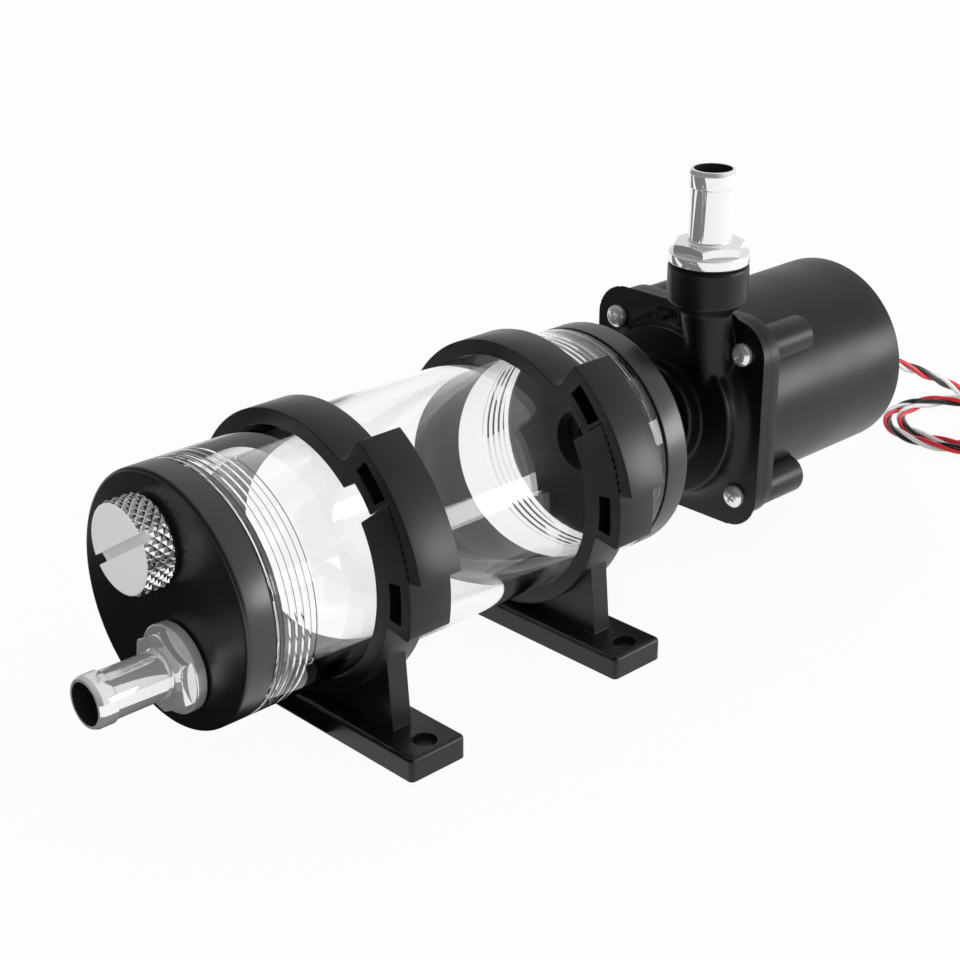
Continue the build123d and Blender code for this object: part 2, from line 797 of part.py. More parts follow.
# Pump head: flange, volute dome, inlet boss, and the outlet duct with its threaded tower
with BuildPart() as pump_head:
    with BuildSketch(across(plate_x)):
        RectangleRounded(flange_side, flange_side, flange_corner)
    extrude(amount=head_flange)
    front_rim = pump_head.faces().sort_by(Axis.X)[0].edges()
    fillet(front_rim, housing_edge)
    with BuildSketch(profile_plane):
        with BuildLine():
            Polyline(
                (plate_x + 1, 0),
                (boss_x, 0),
                (boss_x, boss_radius - port_chamfer),
                (boss_x + port_chamfer, boss_radius),
                (dome_x, boss_radius),
                (dome_x, dome_radius - dome_edge),
            )
            ThreePointArc(
                (dome_x, dome_radius - dome_edge),
                (dome_x + dome_edge * (1 - cos(pi / 4)), dome_radius - dome_edge * (1 - sin(pi / 4))),
                (dome_x + dome_edge, dome_radius),
            )
            hollow_x = plate_x - (dome_foot_radius - dome_radius)
            Line((dome_x + dome_edge, dome_radius), (hollow_x, dome_radius))
            ThreePointArc(
                (hollow_x, dome_radius),
                (
                    hollow_x + (plate_x - hollow_x) * sin(pi / 4),
                    dome_foot_radius - (dome_foot_radius - dome_radius) * cos(pi / 4),
                ),
                (plate_x, dome_foot_radius),
            )
            Polyline((plate_x, dome_foot_radius), (plate_x + 1, dome_foot_radius), (plate_x + 1, 0))
        make_face()
    revolve(axis=tube_axis)
    tower_foot = Plane.XY.offset(axis_height + tower_bottom)
    duct_foot = Plane.XY.offset(axis_height + duct_foot_height)
    with BuildSketch(tower_foot):
        with Locations((outlet_x, -outlet_side)):
            Circle(duct_radius)
    with BuildSketch(duct_foot):
        with Locations((plate_x - duct_foot_forward, -duct_foot_side)):
            Circle(duct_foot_radius)
    loft()
    with BuildSketch(tower_foot):
        with Locations((outlet_x, -outlet_side)):
            Circle(tower_radius)
    extrude(amount=tower_top - tower_bottom)
    with BuildSketch(tower_foot):
        with Locations((outlet_x, -outlet_side)):
            Circle(tower_radius)
    with BuildSketch(tower_foot.offset(-tower_cone)):
        with Locations((outlet_x, -outlet_side)):
            Circle(duct_radius)
    loft()
    for rib_place, turn in ((side_rib_place, 0), (upper_rib_place, 90)):
        with BuildSketch(across(plate_x - head_rib_height)):
            with Locations(rib_place):
                SlotOverall(head_rib_length, head_rib_width, rotation=turn)
        extrude(amount=head_rib_height + head_flange / 2)
    with BuildSketch(across(joint_x)):
        Circle(chamber_radius)
    extrude(amount=-(joint_x - chamber_x), mode=Mode.SUBTRACT)
    with BuildSketch(across(boss_x)):
        Circle(port_bore_radius)
    extrude(amount=inlet_depth, mode=Mode.SUBTRACT)
    with BuildSketch(tower_foot.offset(tower_top - tower_bottom)):
        with Locations((outlet_x, -outlet_side)):
            Circle(port_bore_radius)
    extrude(amount=-tower_bore_depth, mode=Mode.SUBTRACT)
    with BuildSketch(tower_foot.offset(tower_top - tower_bottom - tower_bore_depth)):
        with Locations((outlet_x, -outlet_side)):
            Circle(duct_bore_radius)
    with BuildSketch(duct_foot):
        with Locations((plate_x - duct_foot_forward + duct_bore_back, -duct_foot_side)):
            Circle(duct_foot_bore)
    loft(mode=Mode.SUBTRACT)
    with BuildSketch(across(joint_x)):
        Circle(head_seal_radius + head_seal_width)
        Circle(head_seal_radius, mode=Mode.SUBTRACT)
    extrude(amount=-head_seal_depth, mode=Mode.SUBTRACT)
    with BuildSketch(across(plate_x)):
        with GridLocations(screw_spacing_y, screw_spacing_z, 2, 2):
            Circle(screw_hole_radius)
    extrude(amount=head_flange, mode=Mode.SUBTRACT)
    # Three arms carry the nose that holds the front end of the shaft
    with BuildSketch(across(chamber_x)):
        Circle(nose_radius)
        with PolarLocations((port_bore_radius + port_chamfer) / 2, 3, start_angle=90):
            Rectangle(port_bore_radius + port_chamfer, nose_arm_width)
    extrude(amount=nose_arm_height)
    with BuildSketch(across(chamber_x)):
        Circle(nose_radius)
    extrude(amount=nose_length)
    with BuildSketch(across(chamber_x + shaft_seat_wall)):
        Circle(shaft_radius)
    extrude(amount=nose_length, mode=Mode.SUBTRACT)
save(pump_head, "pump_head")

with BuildPart() as head_seal:
    with BuildSketch(across(joint_x)):
        Circle(head_seal_radius + head_seal_width)
        Circle(head_seal_radius, mode=Mode.SUBTRACT)
    extrude(amount=-head_seal_depth)
save(head_seal, "head_seal")

# Four pan head screws with cross recesses
with BuildPart() as head_screws:
    with BuildSketch(across(plate_x)):
        with GridLocations(screw_spacing_y, screw_spacing_z, 2, 2):
            Circle(screw_shank_radius)
    extrude(amount=screw_shank_length)
    with BuildSketch(across(plate_x)):
        with GridLocations(screw_spacing_y, screw_spacing_z, 2, 2):
            Circle(screw_head_radius)
    extrude(amount=-screw_head_height)
    crowns = head_screws.faces().group_by(Axis.X)[0]
    fillet(crowns.edges(), screw_crown)
    with BuildSketch(across(plate_x - screw_head_height)):
        with GridLocations(screw_spacing_y, screw_spacing_z, 2, 2):
            Rectangle(cross_length, cross_width, rotation=cross_turn)
            Rectangle(cross_width, cross_length, rotation=cross_turn)
    extrude(amount=cross_depth, mode=Mode.SUBTRACT)
save(head_screws, "head_screws")

# Motor housing with the flange that takes the screws
with BuildPart() as motor_housing:
    with BuildSketch(across(joint_x)):
        RectangleRounded(flange_side, flange_side, flange_corner)
    extrude(amount=housing_flange)
    back_rim = motor_housing.faces().sort_by(Axis.X)[-1].edges()
    fillet(back_rim, housing_edge)
    with BuildSketch(across(joint_x)):
        Circle(motor_radius)
    extrude(amount=end_cap_x - joint_x)
    with BuildSketch(across(joint_x + housing_flange / 2)):
        with GridLocations(screw_spacing_y, screw_spacing_z, 2, 2):
            Circle(housing_boss_radius)
    extrude(amount=housing_flange / 2 + housing_boss_length)
    with BuildSketch(across(joint_x)):
        Circle(housing_bore_radius)
    extrude(amount=end_cap_x - joint_x, mode=Mode.SUBTRACT)
    with BuildSketch(across(joint_x)):
        Circle(can_seat_radius)
    extrude(amount=can_flange, mode=Mode.SUBTRACT)
    with BuildSketch(across(joint_x)):
        with GridLocations(screw_spacing_y, screw_spacing_z, 2, 2):
            Circle(screw_pilot_radius)
    extrude(amount=screw_shank_length - head_flange + screw_tip_room, mode=Mode.SUBTRACT)
save(motor_housing, "motor_housing")

# Rear cover of the motor, with the cable hole
cable_exit = (-cable_exit_side, 0)
with BuildPart() as motor_end_cap:
    with BuildSketch(across(end_cap_x)):
        Circle(end_cap_radius)
    extrude(amount=end_cap_flange)
    fillet(motor_end_cap.faces().sort_by(Axis.X)[-1].edges(), end_cap_edge)
    with BuildSketch(across(end_cap_x)):
        Circle(housing_bore_radius - end_cap_gap)
    extrude(amount=-end_cap_spigot)
    with BuildSketch(across(end_cap_x - end_cap_spigot)):
        with Locations(cable_exit):
            Circle(grommet_radius)
    extrude(amount=end_cap_spigot + end_cap_flange, mode=Mode.SUBTRACT)
save(motor_end_cap, "motor_end_cap")

with BuildPart() as cable_grommet:
    with BuildSketch(across(end_cap_x - end_cap_spigot)):
        with Locations(cable_exit):
            Circle(grommet_radius)
    extrude(amount=end_cap_spigot + end_cap_flange)
    with BuildSketch(across(motor_end_x)):
        with Locations(cable_exit):
            Circle(grommet_collar)
    extrude(amount=grommet_collar_length)
    fillet(cable_grommet.faces().sort_by(Axis.X)[-1].edges(), grommet_edge)
    with BuildSketch(across(end_cap_x - end_cap_spigot)):
        with Locations(cable_exit):
            Circle(cable_radius)
    extrude(amount=end_cap_spigot + end_cap_flange + grommet_collar_length, mode=Mode.SUBTRACT)
save(cable_grommet, "cable_grommet")

# Can that keeps the coolant out of the stator
with BuildPart() as isolation_can:
    with BuildSketch(profile_plane):
        with BuildLine():
            Polyline(
                (joint_x, can_inner_radius),
                (joint_x, can_seat_radius - can_flange_gap),
                (joint_x + can_flange, can_seat_radius - can_flange_gap),
                (joint_x + can_flange, can_outer_radius),
                (can_end_x, can_outer_radius),
                (can_end_x, 0),
                (can_end_x - can_wall, 0),
                (can_end_x - can_wall, shaft_radius),
                (can_boss_x, shaft_radius),
                (can_boss_x, can_end_boss_radius),
                (can_end_x - can_wall, can_end_boss_radius),
                (can_end_x - can_wall, can_inner_radius),
                close=True,
            )
        make_face()
    revolve(axis=tube_axis)
save(isolation_can, "isolation_can")

with BuildPart() as pump_shaft:
    with BuildSketch(across(chamber_x + shaft_seat_wall)):
        Circle(shaft_radius)
    extrude(amount=can_end_x - can_wall - chamber_x - shaft_seat_wall)
save(pump_shaft, "pump_shaft")

with BuildPart() as thrust_washers:
    for x in (nose_x + washer_play, rotor_rear_x + washer_play):
        with BuildSketch(across(x)):
            Circle(washer_radius)
            Circle(shaft_radius + bush_gap, mode=Mode.SUBTRACT)
        extrude(amount=washer_thickness)
save(thrust_washers, "thrust_washers")


def vane_line(turn):
    """Backward-swept centre line of one vane, from the hub to the rim."""
    points = []
    for share in (0, 0.5, 1):
        radius = hub_radius - vane_overlap + share * (impeller_radius - hub_radius)
        angle = radians(turn + vane_sweep * share)
        points.append((radius * cos(angle), radius * sin(angle)))
    return points


# Open impeller with a sleeve that carries the magnet
with BuildPart() as impeller:
    with BuildSketch(across(impeller_back_x - impeller_disc)):
        Circle(impeller_radius)
    extrude(amount=impeller_disc)
    with BuildSketch(across(rotor_front_x)):
        Circle(hub_radius)
    extrude(amount=rotor_rear_x - rotor_front_x)
    for vane in range(vane_count):
        with BuildSketch(across(impeller_front_x)):
            with BuildLine():
                centre_line = ThreePointArc(*vane_line(vane * 360 / vane_count))
                offset(centre_line, vane_width / 2, side=Side.BOTH)
            make_face()
        extrude(amount=vane_height + impeller_disc / 2)
    with BuildSketch(across(impeller_front_x)):
        Circle(impeller_radius + 2 * vane_width)
        Circle(impeller_radius, mode=Mode.SUBTRACT)
    extrude(amount=vane_height + impeller_disc, mode=Mode.SUBTRACT)
    with BuildSketch(across(rotor_front_x)):
        Circle(bush_outer_radius)
    extrude(amount=rotor_rear_x - rotor_front_x, mode=Mode.SUBTRACT)
save(impeller, "impeller")

with BuildPart() as rotor_bushes:
    for x in (rotor_front_x, rotor_rear_x - bush_length):
        with BuildSketch(across(x)):
            Circle(bush_outer_radius)
            Circle(shaft_radius + bush_gap, mode=Mode.SUBTRACT)
        extrude(amount=bush_length)
save(rotor_bushes, "rotor_bushes")

with BuildPart() as rotor_magnet:
    with BuildSketch(across(joint_x + magnet_start)):
        Circle(magnet_radius)
        Circle(hub_radius, mode=Mode.SUBTRACT)
    extrude(amount=rotor_rear_x - magnet_end_gap - joint_x - magnet_start)
save(rotor_magnet, "rotor_magnet")

# Laminated stator with six teeth
with BuildPart() as stator_core:
    with BuildSketch(across(stack_x)):
        Circle(stator_outer_radius)
        Circle(yoke_inner_radius, mode=Mode.SUBTRACT)
        tooth_length = yoke_inner_radius - stator_inner_radius
        with PolarLocations(stator_inner_radius + tooth_length / 2 + 0.5, tooth_count):
            Rectangle(tooth_length, tooth_width)
        with PolarLocations(stator_inner_radius + shoe_height / 2, tooth_count):
            Rectangle(shoe_height, shoe_width)
        Circle(stator_inner_radius, mode=Mode.SUBTRACT)
    extrude(amount=stack_length)
save(stator_core, "stator_core")

# One winding round each tooth
with BuildPart() as stator_coils:
    coil_x = stack_x - coil_gap - coil_thickness
    coil_span = stack_length + 2 * (coil_gap + coil_thickness)
    coil_middle = (coil_inner_radius + coil_outer_radius) / 2
    inner_width = tooth_width + 2 * coil_gap
    coil_radial = coil_outer_radius - coil_inner_radius
    with BuildSketch(across(coil_x)):
        with PolarLocations(coil_middle, tooth_count):
            Rectangle(coil_radial, inner_width + 2 * coil_thickness)
    extrude(amount=coil_span)
    with BuildSketch(across(coil_x + coil_thickness)):
        with PolarLocations(coil_middle, tooth_count):
            Rectangle(coil_radial + 1, inner_width)
    extrude(amount=coil_span - 2 * coil_thickness, mode=Mode.SUBTRACT)
save(stator_coils, "stator_coils")

# Insulating end rings; the rear one has posts for the board
with BuildPart() as stator_insulators:
    for x in (stack_x - insulator_thickness, stack_end_x):
        with BuildSketch(across(x)):
            Circle(insulator_outer_radius)
            Circle(insulator_inner_radius, mode=Mode.SUBTRACT)
        extrude(amount=insulator_thickness)
    with BuildSketch(across(stack_end_x + insulator_thickness / 2)):
        with PolarLocations(post_circle, 3, start_angle=90):
            Circle(post_radius)
    extrude(amount=insulator_thickness / 2 + post_length)
save(stator_insulators, "stator_insulators")

# Drive board with its power transistors, driver chip and capacitor
with BuildPart() as control_board:
    with BuildSketch(across(post_end_x)):
        Circle(board_radius)
    extrude(amount=board_thickness)
    board_back = post_end_x + board_thickness
    with BuildSketch(across(board_back)):
        with PolarLocations(transistor_circle, 3, start_angle=30):
            Rectangle(*transistor_size)
        Rectangle(driver_side, driver_side)
    extrude(amount=chip_height)
    with BuildSketch(across(board_back)):
        with Locations(capacitor_place):
            Circle(capacitor_radius)
    extrude(amount=capacitor_height)
save(control_board, "control_board")


def cable_tube(points):
    """Round cable along straight runs joined by arcs that are as large as the runs allow."""
    corners = [Vector(*point) for point in points]
    radii = []
    for before, corner, after in zip(corners, corners[1:], corners[2:]):
        turn = (corner - before).get_angle(after - corner)
        shorter = min((corner - before).length, (after - corner).length)
        radii.append(bend_share * shorter / tan(radians(turn) / 2))
    with BuildPart() as tube:
        with BuildLine() as path:
            FilletPolyline(*points, radius=radii)
        start = path.wires()[0] % 0
        with BuildSketch(Plane(origin=points[0], z_dir=start)):
            Circle(cable_radius)
        sweep(path=path.wires()[0])
    return tube


cable_start = (end_cap_x - end_cap_spigot, cable_exit[0], axis_height)
cable_mouth = (motor_end_x + grommet_collar_length, cable_exit[0], axis_height + grommet_droop)
save(cable_tube([cable_start, cable_mouth, *cable_route, cable_lead_end]), "cable_lead")

# Outer shape of the cable's loose coil on the floor
with BuildPart() as cable_coil:
    with BuildSketch(Plane.XY):
        with Locations(coil_centre):
            Circle(coil_outer)
            Circle(coil_inner, mode=Mode.SUBTRACT)
    extrude(amount=coil_height)
    fillet(cable_coil.edges(), coil_edge)
save(cable_coil, "cable_coil")
save(cable_tube([tail_start, *tail_route, tail_end]), "cable_tail")

# Three-pin plug on the end of the cable
tail_direction = Vector(*tail_end) - Vector(*tail_route[-1])
plug_facing = Vector(tail_direction.X, tail_direction.Y, 0).normalized()
plug_plane = Plane(origin=tail_end, x_dir=(-plug_facing.Y, plug_facing.X, 0), z_dir=plug_facing)
with BuildPart() as cable_connector:
    with BuildSketch(plug_plane):
        Rectangle(connector_size[1], connector_size[2])
    extrude(amount=connector_size[0])
    with BuildSketch(plug_plane):
        with Locations((0, connector_size[2] / 2)):
            with GridLocations(connector_size[1] * 0.6, 1, 2, 1):
                Rectangle(connector_rib, 2 * connector_rib)
    extrude(amount=connector_size[0] * 0.7)
    with BuildSketch(plug_plane.offset(connector_size[0])):
        with GridLocations(connector_pitch, 1, 3, 1):
            Rectangle(connector_socket, connector_socket)
    extrude(amount=-connector_socket_depth, mode=Mode.SUBTRACT)
save(cable_connector, "cable_connector")
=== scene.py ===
"""Coolant reservoir with a clear tube, two clamp stands, hose barbs and a pump, dressed round a measured frame."""

from math import acos, atan2, cos, pi, radians, sin, sqrt, tan

import bmesh
import bpy
from bpy.props import FloatProperty, FloatVectorProperty, IntProperty, PointerProperty
from mathutils import Matrix, Vector


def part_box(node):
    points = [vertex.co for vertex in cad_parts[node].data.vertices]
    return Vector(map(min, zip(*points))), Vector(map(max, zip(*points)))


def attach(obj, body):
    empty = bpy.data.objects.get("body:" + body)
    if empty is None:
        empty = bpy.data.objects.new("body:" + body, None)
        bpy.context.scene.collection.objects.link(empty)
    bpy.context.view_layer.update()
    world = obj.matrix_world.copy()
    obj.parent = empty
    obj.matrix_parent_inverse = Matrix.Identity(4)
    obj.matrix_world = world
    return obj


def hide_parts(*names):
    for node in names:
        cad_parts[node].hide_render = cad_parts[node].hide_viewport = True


bl_info = {
    "name": "Coolant Pump Reservoir",
    "version": (1, 0, 0),
    "blender": (4, 5, 0),
    "location": "3D View > Sidebar > Reservoir",
    "description": "Dresses a measured coolant reservoir and pump with turned, moulded and clear pieces",
    "category": "Add Mesh",
}

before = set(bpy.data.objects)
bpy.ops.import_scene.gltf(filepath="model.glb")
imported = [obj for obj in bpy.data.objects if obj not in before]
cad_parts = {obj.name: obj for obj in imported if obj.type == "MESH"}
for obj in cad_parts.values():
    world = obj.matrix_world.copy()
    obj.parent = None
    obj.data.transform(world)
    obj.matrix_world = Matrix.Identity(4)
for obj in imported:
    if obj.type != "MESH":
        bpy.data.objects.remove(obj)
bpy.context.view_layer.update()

MM = 0.001
ALONG_X = Vector((1, 0, 0))
TOWARDS_INLET = Vector((-1, 0, 0))
UPWARDS = Vector((0, 0, 1))
QUARTERS = ((-1, -1), (-1, 1), (1, -1), (1, 1))

# Roundings that several pieces share, and a hair's breadth between two rows of points
EDGE = 0.3 * MM
SOFT_EDGE = 0.4 * MM
FINE_EDGE = 0.12 * MM
HAIR = 0.01 * MM

# Steps round a piece, and the angle over which an edge stays sharp
LARGE_STEPS = 192
COVER_STEPS = 160
SMALL_STEPS = 64
CREASE = 30
KNURL_CREASE = 22
BARB_CREASE = 24
MOULDED_CREASE = 38
CABLE_CREASE = 50

# Tube, caps and their threads
THREAD_RELIEF = 0.25 * MM
THREAD_SHARE = 0.2
CAP_GAP = 0.7 * MM
CAP_GROOVE = 0.5 * MM
SPIGOT_CLEARANCE = 0.13 * MM
CAP_SEAL_WIDTH = 1.5 * MM
CAP_SEAL_EDGE = 0.34 * MM

# Fill plug
KNURL_MARGIN = 0.25 * MM
KNURL_START = 0.28 * MM
KNURL_ENDS = 0.6 * MM
KNURL_STEPS = 10
KNURL_BACK = 0.2 * MM
KNURL_INSIDE = 0.35 * MM
PLUG_BEVEL = 0.42 * MM
PLUG_FACE_INSET = 0.75 * MM
PLUG_SHOULDER = 0.8 * MM
PLUG_EDGE = 0.1 * MM
PLUG_SEAL_EDGE = 0.18 * MM

# Hose barb fittings
PORT_GROOVE = 0.6 * MM
PORT_THREAD_START = 0.4 * MM
PORT_THREAD_END = 0.8 * MM
PORT_CLEARANCE = 0.08 * MM
FITTING_SHANK = 6.0 * MM
FLANGE_HEIGHT = 2.3 * MM
HEXAGON_HEIGHT = 2.1 * MM
HEXAGON_CROWN = 0.5 * MM
HEXAGON_STEPS = 6
BARB_FOOT = 3.9 * MM
BARB_TOP = 0.9 * MM
BARB_RISE = 0.4 * MM
FITTING_SEAL_RADIUS = 8.2 * MM
FITTING_SEAL_EDGE = 0.15 * MM

# Pump and motor
FLANGE_THICKNESS = 3.3 * MM
BOSS_RADIUS = 12.0 * MM
BOSS_HEIGHT = 4.2 * MM
DOME_RADIUS = 19.4 * MM
DOME_FLARE = 3.5 * MM
FLARE_STEPS = 8
CHAMBER_RADIUS = 17.0 * MM
CHAMBER_WALL = 1.6 * MM
TOWER_RADIUS = 8.7 * MM
TOWER_HEIGHT = 7.9 * MM
TOWER_CONE = 2.6 * MM
DUCT_RADIUS = 5.6 * MM
DUCT_FOOT_RADIUS = 4.6 * MM
DUCT_FOOT_SIDE = 10.6 * MM
DUCT_FOOT_LIFT = 4.0 * MM
CHANNEL_LIFT = 9.0 * MM
CHANNEL_RADII = (3.0 * MM, 3.8 * MM)
PORT_DEPTH = 8.0 * MM
OVERHANG = 2.0 * MM
TRIM_WIDTH = 8.0 * MM
TRIM_HEIGHT = 5.0 * MM
TOWER_BORE = 6.8 * MM
CHANNEL_TOP = 6.6 * MM
RIB_DEPTH = 2.4
RIB_WIDTH = 1.5
HEAD_SOFTENING = 9
# Each rib's step back from the plate, way across and up from the axis and length in millimetres, and turn in degrees
RIBS = ((0.6, 4.6, 20.6, 3.6, 0), (0.9, -1.6, 21.4, 4.2, 90))
MOTOR_RADIUS = 22.6 * MM
HOUSING_BORE = 19.6 * MM
POST_RADIUS = 4.4 * MM
POST_LENGTH = 12.8 * MM
COVER_SHOULDER = 3.0 * MM
COVER_RIM = 3.2 * MM
COVER_DISH = 0.5 * MM
GROMMET_HOLE = 1.5 * MM
GROMMET_RADIUS = 3.4 * MM
GROMMET_COLLAR = 4.35 * MM

# Screws, in millimetres where a list gives (depth, half length, half width)
SCREW_RADIUS = 2.6 * MM
SCREW_HEIGHT = 1.9 * MM
RECESS = ((-0.5, 1.4, 0.27), (0.45, 1.15, 0.23), (1.25, 0.4, 0.15))
FIRST_TURN = 24
NEXT_TURN = 17

# Cable: the same points as the measured route, and its loose turns, in millimetres and degrees
CABLE_LEAD = (
    (126.8, -10.0, 33.7), (135.4, -10.0, 33.85), (142.0, -10.3, 32.6), (150.2, -12.0, 28.6), (158.5, -14.2, 24.6),
    (167.5, -16.6, 19.8), (176.0, -20.2, 13.0), (181.5, -24.2, 8.0),
)
CABLE_TAIL = (
    (190.0, -32.2, 1.7), (200.0, -33.8, 1.7), (209.0, -35.4, 1.9), (217.0, -39.0, 2.4), (223.0, -43.6, 2.9),
)
CABLE_STEP = 0.8 * MM
COIL_CENTRE = (187.6, -7.8)
COIL_START_ANGLE = -87
COIL_END_ANGLE = -102
COIL_INNER = 13.6
COIL_OUTER = 20.2
COIL_HEIGHT = 1.55
COIL_SETTLING = 0.22
ARRIVAL_WIDTH = 3.0
ARRIVAL_HEIGHT = 3.2
COIL_WAVER = 0.5
COIL_DRIFT = (0.7, 0.6)
WIRE_STEPS = 12
CONNECTOR_EDGE = 0.25 * MM
COUPLER_EDGE = 0.2 * MM
POINTS_PER_TURN = 14

# Stage
SENSOR_WIDTH = 36
NEAREST = 0.01
FARTHEST = 20
KEY_SIZE = (0.62, 0.24)
KEY_TARGET = 0.02
FLOOR_REACH = 4
FLOOR_COLOUR = (0.86, 0.86, 0.86)
FLOOR_GLOW = 0.94
SKY_BRIGHT_WAY = Vector((0.8, -0.1, 0.3))
SKY_TURNS = (-0.35, 0.75)
CARD_LIFT = 0.3 * MM
CARD_OUTLINE = (
    (-0.4, -0.03), (-0.075, -0.03), (0.06, 0.03), (0.06, 0.4), (-0.03, 0.4), (-0.03, 0.1), (-0.095, 0.1),
    (-0.095, 0.4), (-0.4, 0.4),
)


def middle(node):
    """Centre of a frame node's box."""
    low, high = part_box(node)
    return (low + high) / 2


def span(node):
    """Size of a frame node's box."""
    low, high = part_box(node)
    return high - low


def tube_line(x):
    """Point of the tube's axis at x."""
    centre = middle("reservoir_tube")
    return Vector((x, centre.y, centre.z))


def screw_places(x, centre):
    """Points at x on the lines of the four screws round a centre."""
    low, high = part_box("head_screws")
    reach_y, reach_z = (high.y - low.y) / 2 - SCREW_RADIUS, (high.z - low.z) / 2 - SCREW_RADIUS
    return [Vector((x, centre.y + way_y * reach_y, centre.z + way_z * reach_z)) for way_y, way_z in QUARTERS]


def ease(share):
    """Share from 0 to 1 that starts and ends gently."""
    return share * share * (3 - 2 * share)


# Properties


def length_property(name, description, millimetres):
    """Length setting, given in millimetres."""
    return FloatProperty(name=name, description=description, default=millimetres * MM, unit="LENGTH", precision=5)


def colour_property(name, description, colour):
    """Colour setting with a picker."""
    return FloatVectorProperty(
        name=name, description=description, default=colour, subtype="COLOR", size=3, min=0, max=1
    )


class ReservoirSizes(bpy.types.PropertyGroup):
    """Sizes of the dressed pieces that the frame doesn't give."""

    tube_bore: length_property("Tube bore", "Radius inside the clear tube", 21.5)
    tube_edge: length_property("Tube edge", "Rounding of the tube's ends", 0.35)
    cap_thread_pitch: length_property("Cap thread pitch", "Pitch of the threads inside the tube", 1.5)
    cap_thread_depth: length_property("Cap thread depth", "Depth of the threads inside the tube", 0.4)
    cap_thread_length: length_property("Cap thread length", "Threaded stretch at each end of the tube", 9.9)
    cap_spigot: length_property("Cap spigot", "Length of the caps inside the tube", 2.6)
    cap_rim: length_property("Cap rim", "Rounding of the caps' outer edge", 0.9)
    port_radius: length_property("Port radius", "Radius of the quarter inch ports", 6.6)
    port_pitch: length_property("Port thread pitch", "Pitch of the quarter inch threads", 1.337)
    knurl_depth: length_property("Knurl depth", "Depth of the diamond knurl", 0.52)
    knurl_count: IntProperty(name="Knurl count", description="Diamonds round the plug", default=52, min=12)
    knurl_rows: IntProperty(name="Knurl rows", description="Diamonds along the plug", default=6, min=2)
    slot_width: length_property("Coin slot width", "Width of the plug's slot", 1.9)
    slot_depth: length_property("Coin slot depth", "Depth of the plug's slot", 1.8)
    slot_tilt: FloatProperty(
        name="Coin slot tilt", description="Angle of the slot above the horizontal", default=radians(32),
        unit="ROTATION",
    )
    flange_radius: length_property("Fitting flange radius", "Radius of the barb fittings' flange", 8.6)
    hex_flats: length_property("Hexagon", "Hexagon across its flats", 14.0)
    barb_radius: length_property("Barb tube radius", "Radius of the hose barb's tube", 4.6)
    barb_bore: length_property("Barb bore", "Radius inside the hose barb", 4.1)
    moulded_edge: length_property("Moulded edge", "Rounding of the clamps' edges", 0.45)
    plate_corner: length_property("Plate corner", "Corner radius of the pump's flanges", 9.2)
    casting_grain: length_property("Casting grain", "Grid size that joins the pump's moulded shapes", 0.36)
    wire_radius: length_property("Wire radius", "Radius of each insulated wire", 0.6)
    wire_twist: length_property("Wire twist", "Length of one full twist of the three wires", 21.0)
    coil_turns: IntProperty(name="Coil turns", description="Loose turns of the cable on the floor", default=2, min=1)


class ReservoirFinishes(bpy.types.PropertyGroup):
    """Base colours of the finishes."""

    acrylic: colour_property("Acrylic", "Tint of the clear tube", (0.995, 0.998, 0.998))
    acetal: colour_property("Acetal", "Turned black plastic of the caps", (0.0085, 0.0085, 0.0088))
    nylon: colour_property("Nylon", "Moulded black plastic of the clamps", (0.0032, 0.0032, 0.0034))
    pump_black: colour_property("Pump black", "Moulded black plastic of the pump", (0.0028, 0.0028, 0.003))
    rubber: colour_property("Rubber", "Seals and grommet", (0.007, 0.007, 0.007))
    chrome: colour_property("Chrome", "Plated hose barbs", (0.96, 0.962, 0.966))
    plug_metal: colour_property("Plug metal", "Face of the fill plug", (0.8, 0.8, 0.8))
    screw_metal: colour_property("Screw metal", "Nickel plated screws", (0.92, 0.915, 0.9))
    wire_red: colour_property("Red wire", "Insulation", (0.72, 0.018, 0.035))
    wire_white: colour_property("White wire", "Insulation", (0.82, 0.82, 0.80))
    wire_black: colour_property("Black wire", "Insulation", (0.012, 0.012, 0.013))


class ReservoirStage(bpy.types.PropertyGroup):
    """Camera and light."""

    camera_place: FloatVectorProperty(
        name="Camera", description="Where the camera stands", default=(-0.23087, -0.258745, 0.189911),
        subtype="TRANSLATION", unit="LENGTH",
    )
    camera_turn: FloatVectorProperty(
        name="Camera turn", description="Rotation of the camera", default=(radians(66.463), 0, radians(-43.86)),
        subtype="EULER", unit="ROTATION",
    )
    lens: FloatProperty(name="Lens", description="Focal length in millimetres", default=71.29, min=10)
    key_power: FloatProperty(name="Key light", description="Power of the large soft light", default=3.0, unit="POWER")
    key_place: FloatVectorProperty(
        name="Key place", description="Where the soft light stands", default=(0.62, -0.62, 0.13),
        subtype="TRANSLATION", unit="LENGTH",
    )
    sky: FloatProperty(name="Room light", description="Strength of the even light of the room", default=0.8, min=0)
    sky_dark: FloatProperty(
        name="Dark side", description="What reflections see towards the inlet side", default=0.03, min=0
    )
    sky_bright: FloatProperty(
        name="Bright side", description="What reflections see above the motor", default=0.75, min=0
    )


def read_settings(context):
    """The scene's sizes and its finishes."""
    return context.scene.reservoir_sizes, make_finishes(context.scene.reservoir_finishes)


# Finishes

FINISHES = {}
# The part of a noise's values that is used
NOISE_LOW = 0.3
NOISE_HIGH = 0.7


def fill(tree, node, inputs):
    """Links each input to a socket, or sets its value."""
    for name, value in inputs.items():
        if isinstance(value, bpy.types.NodeSocket):
            tree.links.new(value, node.inputs[name])
        else:
            node.inputs[name].default_value = value


def add_node(tree, kind, inputs=None, **choices):
    """New node with its choices made and its inputs filled."""
    node = tree.nodes.new(f"ShaderNode{kind}")
    for name, value in choices.items():
        setattr(node, name, value)
    fill(tree, node, inputs or {})
    return node


